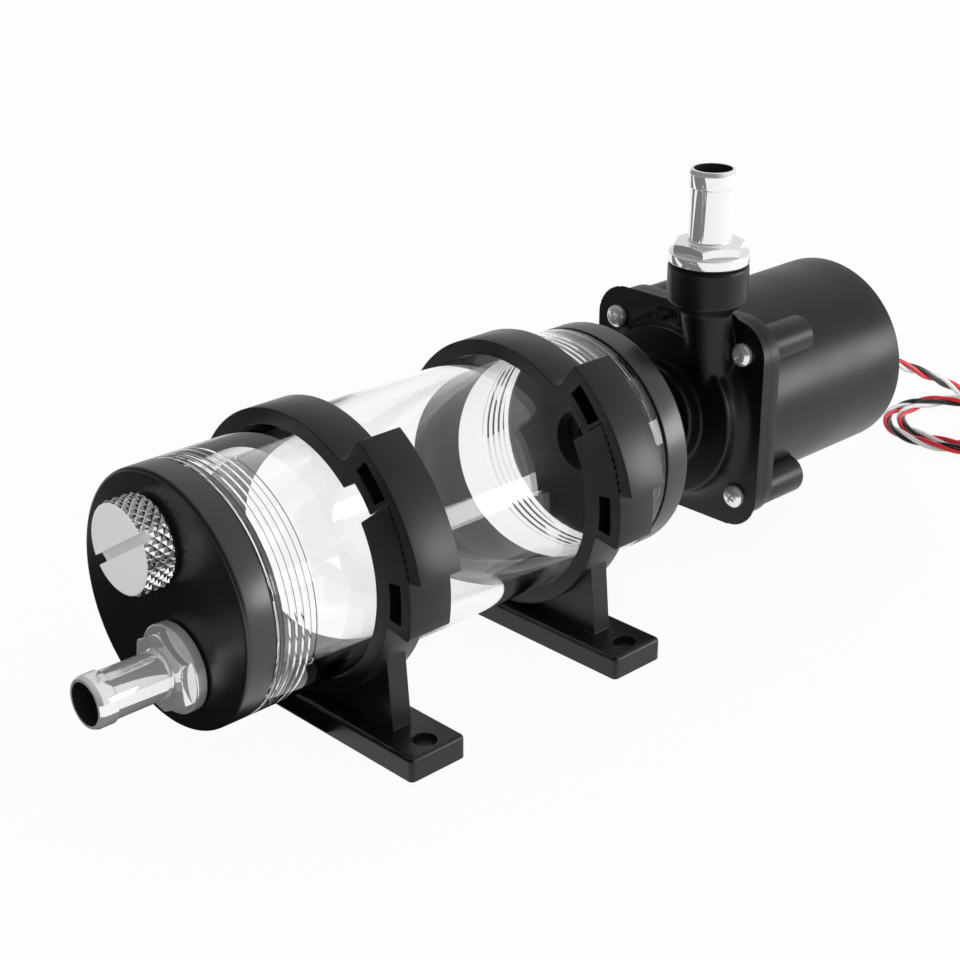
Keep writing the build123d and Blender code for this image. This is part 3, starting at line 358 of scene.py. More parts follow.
def add_math(tree, operation, first, second):
    """Result of one sum over two values."""
    return add_node(tree, "Math", {0: first, 1: second}, operation=operation).outputs["Value"]


def finish_nodes(name):
    """New material with its node tree, shader and object coordinates."""
    material = bpy.data.materials.new(name)
    material.use_nodes = True
    tree = material.node_tree
    return material, tree, tree.nodes["Principled BSDF"], add_node(tree, "TexCoord").outputs["Object"]


def add_noise(tree, place, scale, detail, stretch=(1, 1, 1)):
    """Noise over object coordinates, scaled per metre."""
    mapping = add_node(tree, "Mapping", {"Vector": place, "Scale": stretch})
    inputs = {"Vector": mapping.outputs["Vector"], "Scale": scale, "Detail": detail}
    return add_node(tree, "TexNoise", inputs).outputs["Fac"]


def add_range(tree, value, low, high):
    """Maps a noise value onto a range."""
    inputs = {"Value": value, "From Min": NOISE_LOW, "From Max": NOISE_HIGH, "To Min": low, "To Max": high}
    return add_node(tree, "MapRange", inputs).outputs["Result"]


def add_bump(tree, height, strength, distance):
    """Bump from a height value."""
    inputs = {"Height": height, "Strength": strength, "Distance": distance}
    return add_node(tree, "Bump", inputs).outputs["Normal"]


def add_tint(tree, value, colour, spread):
    """Colour that varies round a base by a share of it."""
    ramp = add_node(tree, "ValToRGB", {"Fac": value})
    for stop, position, share in ((0, NOISE_LOW, 1 - spread), (1, NOISE_HIGH, 1 + spread)):
        ramp.color_ramp.elements[stop].position = position
        ramp.color_ramp.elements[stop].color = (*[min(1, channel * share) for channel in colour], 1)
    return ramp.outputs["Color"]


def coat(nodes, colour, spread, mottle, rough, metallic, gloss, normal):
    """Gives a finish its mottled colour, uneven gloss and relief."""
    material, tree, shader, place = nodes
    broad = add_noise(tree, place, mottle, 3)
    inputs = {
        "Base Color": add_tint(tree, broad, colour, spread),
        "Roughness": add_range(tree, broad, rough * 0.85, rough * 1.15),
        "Normal": normal,
        "Metallic": metallic,
        "Specular IOR Level": gloss,
    }
    fill(tree, shader, inputs)
    material.diffuse_color = (*colour, 1)
    return material


def solid_finish(name, colour, rough, metallic=0, grain=9000, grain_depth=0.02, spread=0.12, gloss=0.5,
                 stretch=(1, 1, 1)):
    """Opaque finish with mottled colour, uneven gloss and a fine grain."""
    nodes = finish_nodes(name)
    tree, place = nodes[1], nodes[3]
    normal = add_bump(tree, add_noise(tree, place, grain, 5, stretch), 0.6, grain_depth * MM)
    return coat(nodes, colour, spread, 60, rough, metallic, gloss, normal)


def turned_finish(name, colour, rough, metallic, centre, ring_scale, ring_depth, gloss=0.5):
    """Finish of a turned face: fine rings about a line through centre along X."""
    nodes = finish_nodes(name)
    tree, place = nodes[1], nodes[3]
    moved = add_node(tree, "VectorMath", {0: place, 1: centre}, operation="SUBTRACT").outputs["Vector"]
    inputs = {"Vector": moved, "Scale": ring_scale, "Distortion": 0.4, "Detail": 2}
    rings = add_node(tree, "TexWave", inputs, wave_type="RINGS", rings_direction="X").outputs["Fac"]
    return coat(nodes, colour, 0.06, 90, rough, metallic, gloss, add_bump(tree, rings, 0.5, ring_depth * MM))


def mix_surface(tree, share, first, second):
    """Gives the material's surface a mix of two shaders."""
    mixed = add_node(tree, "MixShader", {"Fac": share, 1: first, 2: second})
    tree.links.new(mixed.outputs["Shader"], tree.nodes["Material Output"].inputs["Surface"])


def clear_finish(name, colour):
    """Clear cast acrylic that lets light through to what it covers."""
    material, tree, shader, place = finish_nodes(name)
    haze = add_range(tree, add_noise(tree, place, 350, 5, (0.15, 1, 1)), 0, 0.012)
    fill(tree, shader, {"Base Color": (*colour, 1), "IOR": 1.49, "Transmission Weight": 1, "Roughness": haze})
    shadow = add_node(tree, "LightPath").outputs["Is Shadow Ray"]
    through = add_node(tree, "BsdfTransparent", {"Color": (0.9, 0.92, 0.92, 1)})
    mix_surface(tree, shadow, shader.outputs["BSDF"], through.outputs["BSDF"])
    material.diffuse_color = (*colour, 0.3)
    return material


def make_finishes(colours):
    """All finishes of the object, made once."""
    if FINISHES:
        return FINISHES
    FINISHES.update(
        acrylic=clear_finish("clear_acrylic", colours.acrylic),
        acetal=turned_finish("turned_black_acetal", colours.acetal, 0.33, 0, tube_line(0), 900, 0.006, 0.8),
        nylon=solid_finish("moulded_black_nylon", colours.nylon, 0.34, grain=5200, grain_depth=0.03, gloss=0.42),
        pump_black=solid_finish("moulded_pump_black", colours.pump_black, 0.36, grain=4200, gloss=0.34),
        rubber=solid_finish("black_nitrile", colours.rubber, 0.55, grain=3000, gloss=0.35),
        chrome=solid_finish("bright_chrome", colours.chrome, 0.035, 0.7, grain=700, grain_depth=0.0015, spread=0.02),
        # Painted shade: the inside of the hose barbs is coloured near black and dull to stand for the shade in their
        # bores
        bore=solid_finish("bore_painted_shade", (0.012, 0.012, 0.012), 0.6, grain=2500),
        satin_metal=solid_finish("satin_metal", colours.plug_metal, 0.5, grain_depth=0, spread=0, gloss=0),
        knurl_metal=solid_finish("bright_knurl", colours.chrome, 0.12, 1, grain=2500, grain_depth=0.004, spread=0.05),
        screw_metal=solid_finish("nickel_screw", colours.screw_metal, 0.24, 0.75, grain=2500, grain_depth=0.006),
        wire_red=solid_finish("red_insulation", colours.wire_red, 0.22, grain=1500, grain_depth=0.01, spread=0.05),
        wire_white=solid_finish("white_insulation", colours.wire_white, 0.24, grain=1500, grain_depth=0.01,
                                spread=0.03),
        wire_black=solid_finish("black_insulation", colours.wire_black, 0.2, grain=1500, grain_depth=0.01),
        shaft=solid_finish("ground_steel", (0.6, 0.6, 0.62), 0.15, 1, grain=4000, grain_depth=0.003),
        lamination=solid_finish("stator_laminations", (0.3, 0.3, 0.32), 0.4, 1, grain=2400, grain_depth=0.06,
                                stretch=(1, 0.02, 0.02)),
        copper=solid_finish("enamelled_copper", (0.62, 0.24, 0.09), 0.28, 1, grain=1600, grain_depth=0.15,
                            stretch=(0.05, 1, 1)),
        ferrite=solid_finish("sintered_ferrite", (0.05, 0.05, 0.053), 0.5, 0.2, grain=5000, grain_depth=0.03),
        bearing=solid_finish("carbon_bearing", (0.06, 0.06, 0.06), 0.3, grain=6000),
        white_plastic=solid_finish("white_impeller_plastic", (0.78, 0.78, 0.76), 0.4, grain=5000, spread=0.04),
        dark_plastic=solid_finish("dark_inner_plastic", (0.05, 0.05, 0.055), 0.45, grain=5000),
        board=solid_finish("green_solder_mask", (0.01, 0.12, 0.035), 0.3, grain=1200, grain_depth=0.03),
    )
    return FINISHES


# Shapes


def turning_frame(start, along):
    """Matrix whose X axis is the line that a piece is turned about."""
    along = Vector(along).normalized()
    upright = Vector((0, 1, 0)) if abs(along.z) > 0.9 else Vector((0, 0, 1))
    side = upright.cross(along).normalized()
    upright = along.cross(side)
    matrix = Matrix((along, side, upright)).transposed().to_4x4()
    matrix.translation = Vector(start)
    return matrix


def rounded_outline(corners, closed=False, steps=5):
    """Outline points where each corner, given as (station, radius, rounding), becomes an arc."""
    points = []
    count = len(corners)
    for place, (station, radius, rounding) in enumerate(corners):
        here = Vector((station, radius))
        if rounding <= 0 or (not closed and place in (0, count - 1)):
            points.append((station, radius))
            continue
        back = (Vector(corners[place - 1][:2]) - here).normalized()
        ahead = (Vector(corners[(place + 1) % count][:2]) - here).normalized()
        half = acos(max(-1, min(1, back.dot(ahead)))) / 2
        centre = here + (back + ahead).normalized() * rounding / sin(half)
        first = here + back * rounding / tan(half) - centre
        last = here + ahead * rounding / tan(half) - centre
        turn = atan2(first.x * last.y - first.y * last.x, first.dot(last))
        for step in range(steps + 1):
            angle = turn * step / steps
            swung = Vector((first.x * cos(angle) - first.y * sin(angle), first.x * sin(angle) + first.y * cos(angle)))
            points.append(tuple(centre + swung))
    return points


def thread(start, length, pitch, radius, depth, share=0.4):
    """Corners of a row of grooves along an outline; a negative depth cuts outwards from a bore."""
    way = 1 if length > 0 else -1
    corners = []
    for turn in range(int(abs(length) / pitch)):
        station = start + way * pitch * (turn + 0.5)
        corners += [
            (station - way * pitch * share, radius, 0),
            (station, radius - depth, 0),
            (station + way * pitch * share, radius, 0),
        ]
    return corners


def add_object(name, data):
    """New object in the scene."""
    piece = bpy.data.objects.new(name, data)
    bpy.context.scene.collection.objects.link(piece)
    return piece


def smooth(piece, crease=CREASE):
    """Smooth shading, except at edges sharper than crease degrees."""
    piece.data.shade_smooth()
    piece.data.set_sharp_from_angle(angle=radians(crease))


def make_mesh(name, vertices, faces, materials=(None,), crease=CREASE, owners=()):
    """Object with outward normals; owners are the material numbers of the faces."""
    mesh = bpy.data.meshes.new(name)
    mesh.from_pydata([tuple(point) for point in vertices], [], faces)
    shaper = bmesh.new()
    shaper.from_mesh(mesh)
    bmesh.ops.remove_doubles(shaper, verts=shaper.verts, dist=0.0005 * MM)
    bmesh.ops.recalc_face_normals(shaper, faces=shaper.faces)
    shaper.to_mesh(mesh)
    shaper.free()
    for material in materials:
        mesh.materials.append(material)
    if owners:
        mesh.polygons.foreach_set("material_index", owners)
    piece = add_object(name, mesh)
    smooth(piece, crease)
    return piece


def ring_points(centre, radius, side, other, steps):
    """Points of a circle in the plane of two directions."""
    angles = [2 * pi * step / steps for step in range(steps)]
    return [centre + radius * (cos(angle) * side + sin(angle) * other) for angle in angles]


def row_faces(rows):
    """Faces between rows of vertex numbers that each run round a shape."""
    faces = []
    for low, high in zip(rows, rows[1:]):
        for step in range(len(low)):
            after = (step + 1) % len(low)
            faces.append((low[step], low[after], high[after], high[step]))
    return faces


def capped_faces(rows):
    """Faces between rows, and one over each end."""
    return [*row_faces(rows), tuple(rows[0]), tuple(rows[-1])]


def turned(name, start, along, outline, material=None, steps=128, closed=False, shape=None, crease=CREASE):
    """Piece from an outline of (station, radius) points turned about a line."""
    matrix = turning_frame(start, along)
    vertices, rows = [], []
    for station, radius in outline:
        if radius < 0.001 * MM:
            rows.append([len(vertices)] * steps)
            vertices.append(matrix @ Vector((station, 0, 0)))
            continue
        rows.append(range(len(vertices), len(vertices) + steps))
        for step in range(steps):
            angle = 2 * pi * step / steps
            reach = shape(station, radius, angle) if shape else radius
            vertices.append(matrix @ Vector((station, reach * cos(angle), reach * sin(angle))))
    if closed:
        rows.append(rows[0])
    faces = [tuple(dict.fromkeys(face)) for face in row_faces(rows)]
    return make_mesh(name, vertices, [face for face in faces if len(face) > 2], [material], crease)


def settle(piece):
    """Applies a piece's modifiers."""
    graph = bpy.context.evaluated_depsgraph_get()
    mesh = bpy.data.meshes.new_from_object(piece.evaluated_get(graph))
    old = piece.data
    piece.modifiers.clear()
    piece.data = mesh
    mesh.name = piece.name
    bpy.data.meshes.remove(old)


def discard(piece):
    """Removes a helper object and its mesh."""
    mesh = piece.data
    bpy.data.objects.remove(piece)
    bpy.data.meshes.remove(mesh)


def combine(piece, operation, others):
    """Boolean of a piece with each of the others, which are discarded."""
    for other in others:
        step = piece.modifiers.new("combine", "BOOLEAN")
        step.operation = operation
        step.solver = "MANIFOLD"
        step.object = other
        settle(piece)
        discard(other)
    return piece


def cut(piece, *cutters):
    """Takes the cutters' shapes out of a piece."""
    return combine(piece, "DIFFERENCE", cutters)


def fuse(piece, *others):
    """Adds overlapping shapes to a piece."""
    return combine(piece, "UNION", others)


def join(name, pieces):
    """One object from several of the same finishes, which are discarded."""
    shaper = bmesh.new()
    mesh = bpy.data.meshes.new(name)
    for material in pieces[0].data.materials:
        mesh.materials.append(material)
    for piece in pieces:
        shaper.from_mesh(piece.data)
        discard(piece)
    shaper.to_mesh(mesh)
    shaper.free()
    return add_object(name, mesh)


def rod(start, along, radius, length, steps=96):
    """Plain round bar, used to cut bores."""
    return turned("rod", start, along, [(0, 0), (0, radius), (length, radius), (length, 0)], steps=steps)


def block(centre, size, turn=Matrix.Identity(3), material=None):
    """Plain box, used to cut slots or as a joined shape."""
    halves = [value / 2 for value in size]
    corners = [(x, y, z) for x in (-1, 1) for y in (-1, 1) for z in (-1, 1)]
    vertices = [Vector(centre) + turn @ Vector([c * h for c, h in zip(corner, halves)]) for corner in corners]
    faces = [(0, 1, 3, 2), (4, 6, 7, 5), (0, 4, 5, 1), (2, 3, 7, 6), (0, 2, 6, 4), (1, 5, 7, 3)]
    return make_mesh("block", vertices, faces, [material])


def plate(start_x, end_x, side, corner, edges, material=None):
    """Square plate across X with round corners; edges are the roundings at its start and end."""
    centre = tube_line(start_x)
    steps, bends = 12, 4
    stations, rows, vertices = [], [], []
    for x, inwards, rounding in ((start_x, 1, edges[0]), (end_x, -1, edges[1])):
        for bend in range(bends + 1)[::inwards]:
            angle = pi / 2 * bend / bends
            stations.append((x + inwards * rounding * (1 - cos(angle)), rounding * (1 - sin(angle))))
    reach = side / 2 - corner
    for x, inset in stations:
        first = len(vertices)
        for turn, (way_y, way_z) in enumerate(((1, 1), (-1, 1), (-1, -1), (1, -1))):
            for step in range(steps + 1):
                angle = pi / 2 * (turn + step / steps)
                y = centre.y + way_y * reach + (corner - inset) * cos(angle)
                z = centre.z + way_z * reach + (corner - inset) * sin(angle)
                vertices.append((x, y, z))
        rows.append(range(first, len(vertices)))
    faces = [*row_faces(rows), tuple(reversed(rows[0])), tuple(rows[-1])]
    return make_mesh("plate", vertices, faces, [material])


def duct(low, high, low_radius, high_radius, material=None):
    """Round bar that leans over from one level circle to another."""
    steps, levels = SMALL_STEPS, 10
    vertices = []
    for level in range(levels + 1):
        share = level / levels
        centre = Vector(low).lerp(Vector(high), share)
        centre.x = low[0] + (high[0] - low[0]) * ease(share)
        radius = low_radius + (high_radius - low_radius) * ease(share)
        vertices += ring_points(centre, radius, ALONG_X, Vector((0, 1, 0)), steps)
    rows = [range(level * steps, (level + 1) * steps) for level in range(levels + 1)]
    return make_mesh("duct", vertices, capped_faces(rows), [material])


def moulded(name, pieces, grain, material):
    """Joins overlapping solids into one moulding with soft inner corners."""
    whole = join(name, pieces)
    weld = whole.modifiers.new("weld", "REMESH")
    weld.mode = "VOXEL"
    weld.voxel_size = grain
    weld.adaptivity = 0
    soften = whole.modifiers.new("soften", "SMOOTH")
    soften.factor = 0.5
    soften.iterations = HEAD_SOFTENING
    settle(whole)
    paint(whole.data, material)
    return whole


def paint(mesh, material):
    """Makes a material a mesh's only one."""
    mesh.materials.clear()
    mesh.materials.append(material)


def wears(node, material):
    """Gives a frame node its finish."""
    paint(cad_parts[node].data, material)


def round_edges(node, width, segments=3):
    """Rounds the edges of a frame node with modifiers, which leave its mesh as it is."""
    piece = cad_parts[node]
    weld = piece.modifiers.new("weld", "WELD")
    weld.merge_threshold = 0.002 * MM
    flatten = piece.modifiers.new("flatten", "DECIMATE")
    flatten.decimate_type = "DISSOLVE"
    flatten.angle_limit = radians(0.6)
    bevel = piece.modifiers.new("round", "BEVEL")
    bevel.width = width
    bevel.segments = segments
    bevel.limit_method = "ANGLE"
    bevel.angle_limit = radians(28)
    bevel.harden_normals = True
    bevel.use_clamp_overlap = True


def finish_piece(piece, body, slot, *nodes):
    """Rides a piece on its body and stands it in for frame nodes; slot is not used."""
    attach(piece, body)
    if nodes:
        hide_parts(*nodes)


def seal_ring(name, node, start, along, outer, inner, edge, rubber, body="reservoir", steps=96):
    """Seal ring that is as thick as its node and stands in for it."""
    thickness = abs(span(node).dot(along))
    corners = [(0, inner, edge), (0, outer, edge), (thickness, outer, edge), (thickness, inner, edge)]
    ring = turned(name, start, along, rounded_outline(corners, True), rubber, steps, True)
    finish_piece(ring, body, "seal_rubber", node)


# Operators


class BuildTube(bpy.types.Operator):
    """Clear tube with its inner threads"""

    bl_idname = "reservoir.build_tube"
    bl_label = "Clear tube"

    def execute(self, context):
        sizes, finishes = read_settings(context)
        low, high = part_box("reservoir_tube")
        radius, length = (high.z - low.z) / 2, high.x - low.x
        bore, edge = sizes.tube_bore, sizes.tube_edge
        threaded, pitch, depth = sizes.cap_thread_length, sizes.cap_thread_pitch, -sizes.cap_thread_depth
        relieved = bore + THREAD_RELIEF
        corners = [
            (0, relieved, 0),
            (0, radius, edge),
            (length, radius, edge),
            (length, relieved, 0),
            *thread(length, -threaded, pitch, relieved, depth, THREAD_SHARE),
            (length - threaded, relieved, 0),
            (length - threaded, bore, 0),
            (threaded, bore, 0),
            (threaded, relieved, 0),
            *reversed(thread(0, threaded, pitch, relieved, depth, THREAD_SHARE)),
        ]
        outline = rounded_outline(corners, True)
        tube = turned("clear_tube", tube_line(low.x), ALONG_X, outline, finishes["acrylic"], LARGE_STEPS, True)
        finish_piece(tube, "reservoir", "clear_acrylic", "reservoir_tube")
        return {"FINISHED"}


class BuildEndCaps(bpy.types.Operator):
    """Turned end caps, their seals and the ports through them"""

    bl_idname = "reservoir.build_end_caps"
    bl_label = "End caps"

    def execute(self, context):
        sizes, finishes = read_settings(context)
        tube_low, tube_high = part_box("reservoir_tube")
        radius = span("front_end_cap").z / 2
        spigot = sizes.tube_bore + SPIGOT_CLEARANCE
        front_ports = [middle("fill_plug"), middle("inlet_barb_fitting")]
        for place, along, face_x, end_x, ports in (
            ("front", ALONG_X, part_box("front_end_cap")[0].x, tube_low.x, front_ports),
            ("rear", TOWARDS_INLET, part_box("rear_end_cap")[1].x, tube_high.x, [tube_line(0)]),
        ):
            end = abs(end_x - face_x)
            seat, length = end - CAP_GAP, end + sizes.cap_spigot
            corners = [
                (0, 0, 0),
                (0, radius, sizes.cap_rim),
                (seat, radius, EDGE),
                (seat, spigot, 0),
                *thread(end, sizes.cap_spigot, sizes.cap_thread_pitch, spigot, CAP_GROOVE),
                (length, spigot, EDGE),
                (length, 0, 0),
            ]
            outline = rounded_outline(corners, steps=6)
            cap = turned(f"{place}_cap", tube_line(face_x), along, outline, finishes["acetal"], LARGE_STEPS)
            for port in ports:
                mouth = Vector((face_x, port.y, port.z)) - along * MM
                cut(cap, rod(mouth, along, sizes.port_radius, length + 2 * MM))
            smooth(cap)
            finish_piece(cap, "reservoir", "cap_plastic", f"{place}_end_cap")
            node = f"{place}_cap_seal"
            low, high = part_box(node)
            outer = (high.z - low.z) / 2
            seal_ring(f"{place}_seal_ring", node, tube_line(low.x), ALONG_X, outer, outer - CAP_SEAL_WIDTH,
                      CAP_SEAL_EDGE, finishes["rubber"], steps=COVER_STEPS)
        return {"FINISHED"}


class BuildFillPlug(bpy.types.Operator):
    """Knurled fill plug with a coin slot, and its seal ring"""

    bl_idname = "reservoir.build_fill_plug"
    bl_label = "Fill plug"

    def execute(self, context):
        sizes, finishes = read_settings(context)
        low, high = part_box("fill_plug")
        ring_low, ring_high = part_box("fill_plug_seal")
        centre = (low + high) / 2
        start = Vector((low.x, centre.y, centre.z))
        radius, head, shank = (high.z - low.z) / 2, ring_low.x - low.x, high.x - ring_low.x
        depth, rows = sizes.knurl_depth, sizes.knurl_rows
        knurled = head - KNURL_ENDS
        pitch = knurled / rows

        def knurl(station, reach, angle):
            """Radius of the head's side, cut by two crossing sets of helical grooves."""
            if not KNURL_MARGIN <= station <= head - KNURL_MARGIN or reach < radius - KNURL_INSIDE:
                return reach
            along_head = station / pitch / 2
            round_head = angle / (2 * pi) * sizes.knurl_count / 2
            first = abs(((round_head + along_head) * 2) % 2 - 1)
            second = abs(((round_head - along_head) * 2) % 2 - 1)
            return reach - depth * (1 - min(first, second))

        face = [(0, 0, 0), (0, radius - PLUG_FACE_INSET, PLUG_EDGE), (KNURL_START, radius - PLUG_BEVEL, 0)]
        count = rows * KNURL_STEPS
        side = [(KNURL_START + knurled * step / count, radius) for step in range(count + 1)]
        shank_radius = sizes.port_radius - PORT_CLEARANCE
        back = [
            (head - KNURL_BACK, radius - PLUG_BEVEL, 0),
            (head, radius - PLUG_SHOULDER, PLUG_EDGE),
            (head, shank_radius, 0),
            *thread(head, shank - PORT_THREAD_END, sizes.port_pitch, shank_radius, PORT_GROOVE),
            (head + shank, shank_radius, SOFT_EDGE),
            (head + shank, 0, 0),
        ]
        outline = rounded_outline(face, steps=3) + side + rounded_outline(back, steps=3)
        steps = sizes.knurl_count * KNURL_STEPS
        plug = turned("knurled_plug", start, ALONG_X, outline, finishes["knurl_metal"], steps, shape=knurl)
        turn = Matrix.Rotation(-sizes.slot_tilt, 3, "X")
        slot = (2 * sizes.slot_depth, 4 * radius, sizes.slot_width)
        cut(plug, block(start, slot, turn, finishes["satin_metal"]))
        flat = low.x + sizes.slot_depth + 0.05 * MM
        for polygon in plug.data.polygons:
            from_middle = (polygon.center - centre).yz.length
            if polygon.center.x < flat and from_middle < radius - 0.5 * MM:
                polygon.material_index = 1
        smooth(plug, KNURL_CREASE)
        finish_piece(plug, "plug", "plug_metal", "fill_plug")
        seal_ring("plug_seal_ring", "fill_plug_seal", Vector((ring_low.x, centre.y, centre.z)), ALONG_X,
                  (ring_high.z - ring_low.z) / 2, sizes.port_radius, PLUG_SEAL_EDGE, finishes["rubber"], "plug_seal")
        return {"FINISHED"}


class BuildHoseBarbs(bpy.types.Operator):
    """Chromed hose barb fittings and their seals"""

    bl_idname = "reservoir.build_hose_barbs"
    bl_label = "Hose barbs"

    def execute(self, context):
        sizes, finishes = read_settings(context)
        for place, along in (("inlet", TOWARDS_INLET), ("outlet", UPWARDS)):
            node = f"{place}_fitting_seal"
            washer = abs(span(node).dot(along))
            seat = middle(node) - along * washer / 2
            self.build_fitting(place, seat, along, washer, sizes, finishes)
            seal_ring(f"{place}_seal_ring", node, seat, along, FITTING_SEAL_RADIUS, sizes.port_radius,
                      FITTING_SEAL_EDGE, finishes["rubber"])
        return {"FINISHED"}

    @staticmethod
    def build_fitting(place, seat, along, washer, sizes, finishes):
        """Shank, flange, hexagon and barb turned in one piece."""
        node = f"{place}_barb_fitting"
        bore, tube, flats = sizes.barb_bore, sizes.barb_radius, sizes.hex_flats / 2
        tip = max(span(node)) - FITTING_SHANK
        flange_top = washer + FLANGE_HEIGHT
        hex_top = flange_top + HEXAGON_HEIGHT
        crown = hex_top - HEXAGON_CROWN
        ring_start, ring_end = tip - BARB_FOOT, tip - BARB_TOP
        corner = flats / cos(pi / 6)
        thread_radius = sizes.port_radius - PORT_CLEARANCE

        def hexagon(station, reach, angle):
            """Radius that follows the hexagon, with its corners turned off at the top."""
            if not flange_top + HAIR < station < hex_top + HAIR or reach < flats:
                return reach
            within = (angle + pi / 6) % (pi / 3) - pi / 6
            return min(flats / cos(within), reach)

        hex_rows = [(flange_top + 2 * HAIR, corner, 0), (crown, corner, 0)]
        for step in range(1, HEXAGON_STEPS + 1):
            share = step / HEXAGON_STEPS
            hex_rows.append((crown + HEXAGON_CROWN * share, corner - (corner - flats) * share**1.6, 0))
        threaded = FITTING_SHANK - PORT_THREAD_END
        grooves = thread(-PORT_THREAD_START, -threaded, sizes.port_pitch, thread_radius, PORT_GROOVE)
        corners = [
            (-FITTING_SHANK, bore, 0),
            (-FITTING_SHANK, thread_radius, EDGE),
            *reversed(grooves),
            (washer, thread_radius, 0),
            (washer, sizes.flange_radius, EDGE),
            (flange_top, sizes.flange_radius, EDGE),
            (flange_top, corner - HAIR, 0),
            *hex_rows,
            (hex_top, tube, 0.5 * MM),
            (ring_start, tube, 0.15 * MM),
            (ring_start + 0.12 * MM, tube + BARB_RISE, FINE_EDGE),
            (ring_end, tube + 0.42 * MM, EDGE),
            (tip, tube + 0.05 * MM, FINE_EDGE),
            (tip, bore, FINE_EDGE),
        ]
        outline = rounded_outline(corners)
        fitting = turned(f"{place}_barb", seat, along, outline, finishes["chrome"], LARGE_STEPS, True, hexagon,
                         BARB_CREASE)
        # Painted shade: the faces inside the bore take the near-black finish instead of chrome
        fitting.data.materials.append(finishes["bore"])
        for polygon in fitting.data.polygons:
            out = polygon.center - seat
            if (out - along * out.dot(along)).length < bore + 2 * HAIR:
                polygon.material_index = 1
        finish_piece(fitting, "reservoir", "bright_chrome", node)


class DressClamps(bpy.types.Operator):
    """Clamp bases and straps"""

    bl_idname = "reservoir.dress_clamps"
    bl_label = "Clamps"

    def execute(self, context):
        sizes, finishes = read_settings(context)
        for node in ("front_clamp_base", "front_clamp_strap", "rear_clamp_base", "rear_clamp_strap"):
            wears(node, finishes["nylon"])
            round_edges(node, sizes.moulded_edge)
        return {"FINISHED"}


class BuildCoupler(bpy.types.Operator):
    """Coupler between the rear cap and the pump"""

    bl_idname = "reservoir.build_coupler"
    bl_label = "Coupler"

    def execute(self, context):
        finishes = read_settings(context)[1]
        wears("inlet_coupler", finishes["acetal"])
        round_edges("inlet_coupler", COUPLER_EDGE, 2)
        wears("coupler_seals", finishes["rubber"])
        return {"FINISHED"}


class BuildPumpHead(bpy.types.Operator):
    """Moulded pump head with its volute, duct and outlet tower"""

    bl_idname = "reservoir.build_pump_head"
    bl_label = "Pump head"

    def execute(self, context):
        sizes, finishes = read_settings(context)
        black, port_radius, corner = finishes["pump_black"], sizes.port_radius, sizes.plate_corner
        head_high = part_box("pump_head")[1]
        boss_x, joint_x, tower_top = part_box("coupler_seals")[1].x, head_high.x, head_high.z
        plate_x = joint_x - FLANGE_THICKNESS
        chamber_x = boss_x + BOSS_HEIGHT + CHAMBER_WALL
        side = span("motor_housing").y
        outlet, axis = middle("outlet_barb_fitting"), tube_line(0)
        tower_low = tower_top - TOWER_HEIGHT
        tower = rounded_outline(
            [
                (tower_low - TOWER_CONE, 0, 0),
                (tower_low - TOWER_CONE, DUCT_RADIUS, 0),
                (tower_low, TOWER_RADIUS, 0.6 * MM),
                (tower_top, TOWER_RADIUS, SOFT_EDGE),
                (tower_top, 0, 0),
            ]
        )
        foot_y = axis.y - DUCT_FOOT_SIDE
        foot = (plate_x - 0.2 * MM, foot_y, axis.z + DUCT_FOOT_LIFT)
        shapes = [
            plate(plate_x, joint_x + OVERHANG, side + 2 * OVERHANG, corner, (0.2 * MM, 0.2 * MM)),
            turned("dome", axis, ALONG_X, self.dome_outline(boss_x, plate_x)),
            turned("tower", (outlet.x, outlet.y, 0), UPWARDS, tower, steps=96),
            duct(foot, (outlet.x, outlet.y, tower_low), DUCT_FOOT_RADIUS, DUCT_RADIUS),
        ]
        for back, across, up, length, turn in RIBS:
            centre = (plate_x - back * MM, axis.y + across * MM, axis.z + up * MM)
            size = Vector((RIB_DEPTH, length, RIB_WIDTH)) * MM
            shapes.append(block(centre, size, Matrix.Rotation(radians(turn), 3, "X")))
        head = moulded("pump_head_shell", shapes, sizes.casting_grain, black)
        around = (side, side + TRIM_WIDTH, side + TRIM_HEIGHT)
        trimming = block(tube_line(plate_x + side / 2), around, material=black)
        cut(trimming, plate(plate_x, joint_x + side, side, corner, (EDGE, 0.1 * MM), black))
        cut(
            head,
            block((joint_x + OVERHANG, axis.y, axis.z), (2 * OVERHANG, 2 * side, 2 * side), material=black),
            trimming,
            rod(tube_line(boss_x - MM), ALONG_X, port_radius, PORT_DEPTH),
            rod(tube_line(chamber_x), ALONG_X, CHAMBER_RADIUS, joint_x - chamber_x + MM),
            rod((outlet.x, outlet.y, tower_top - TOWER_BORE), UPWARDS, port_radius, PORT_DEPTH),
            duct((plate_x - MM, foot_y, axis.z + CHANNEL_LIFT), (outlet.x, outlet.y, tower_top - CHANNEL_TOP),
                 *CHANNEL_RADII, black),
        )
        smooth(head, MOULDED_CREASE)
        finish_piece(head, "reservoir", "pump_plastic", "pump_head")
        wears("head_seal", finishes["rubber"])
        return {"FINISHED"}

    @staticmethod
    def dome_outline(boss_x, plate_x):
        """Inlet boss, dome and the flare that runs out into the plate."""
        dome_x, flare_x, end_x = boss_x + BOSS_HEIGHT, plate_x - DOME_FLARE, plate_x + MM
        corners = [
            (boss_x, 0, 0),
            (boss_x, BOSS_RADIUS, SOFT_EDGE),
            (dome_x, BOSS_RADIUS, 0),
            (dome_x, DOME_RADIUS, 0.2 * MM),
            (flare_x, DOME_RADIUS, 0),
        ]
        outline = rounded_outline(corners)
        for step in range(1, FLARE_STEPS + 1):
            angle = pi / 2 * step / FLARE_STEPS
            outline.append((flare_x + DOME_FLARE * sin(angle), DOME_RADIUS + DOME_FLARE * (1 - cos(angle))))
        return [*outline, (end_x, DOME_RADIUS + DOME_FLARE), (end_x, 0)]


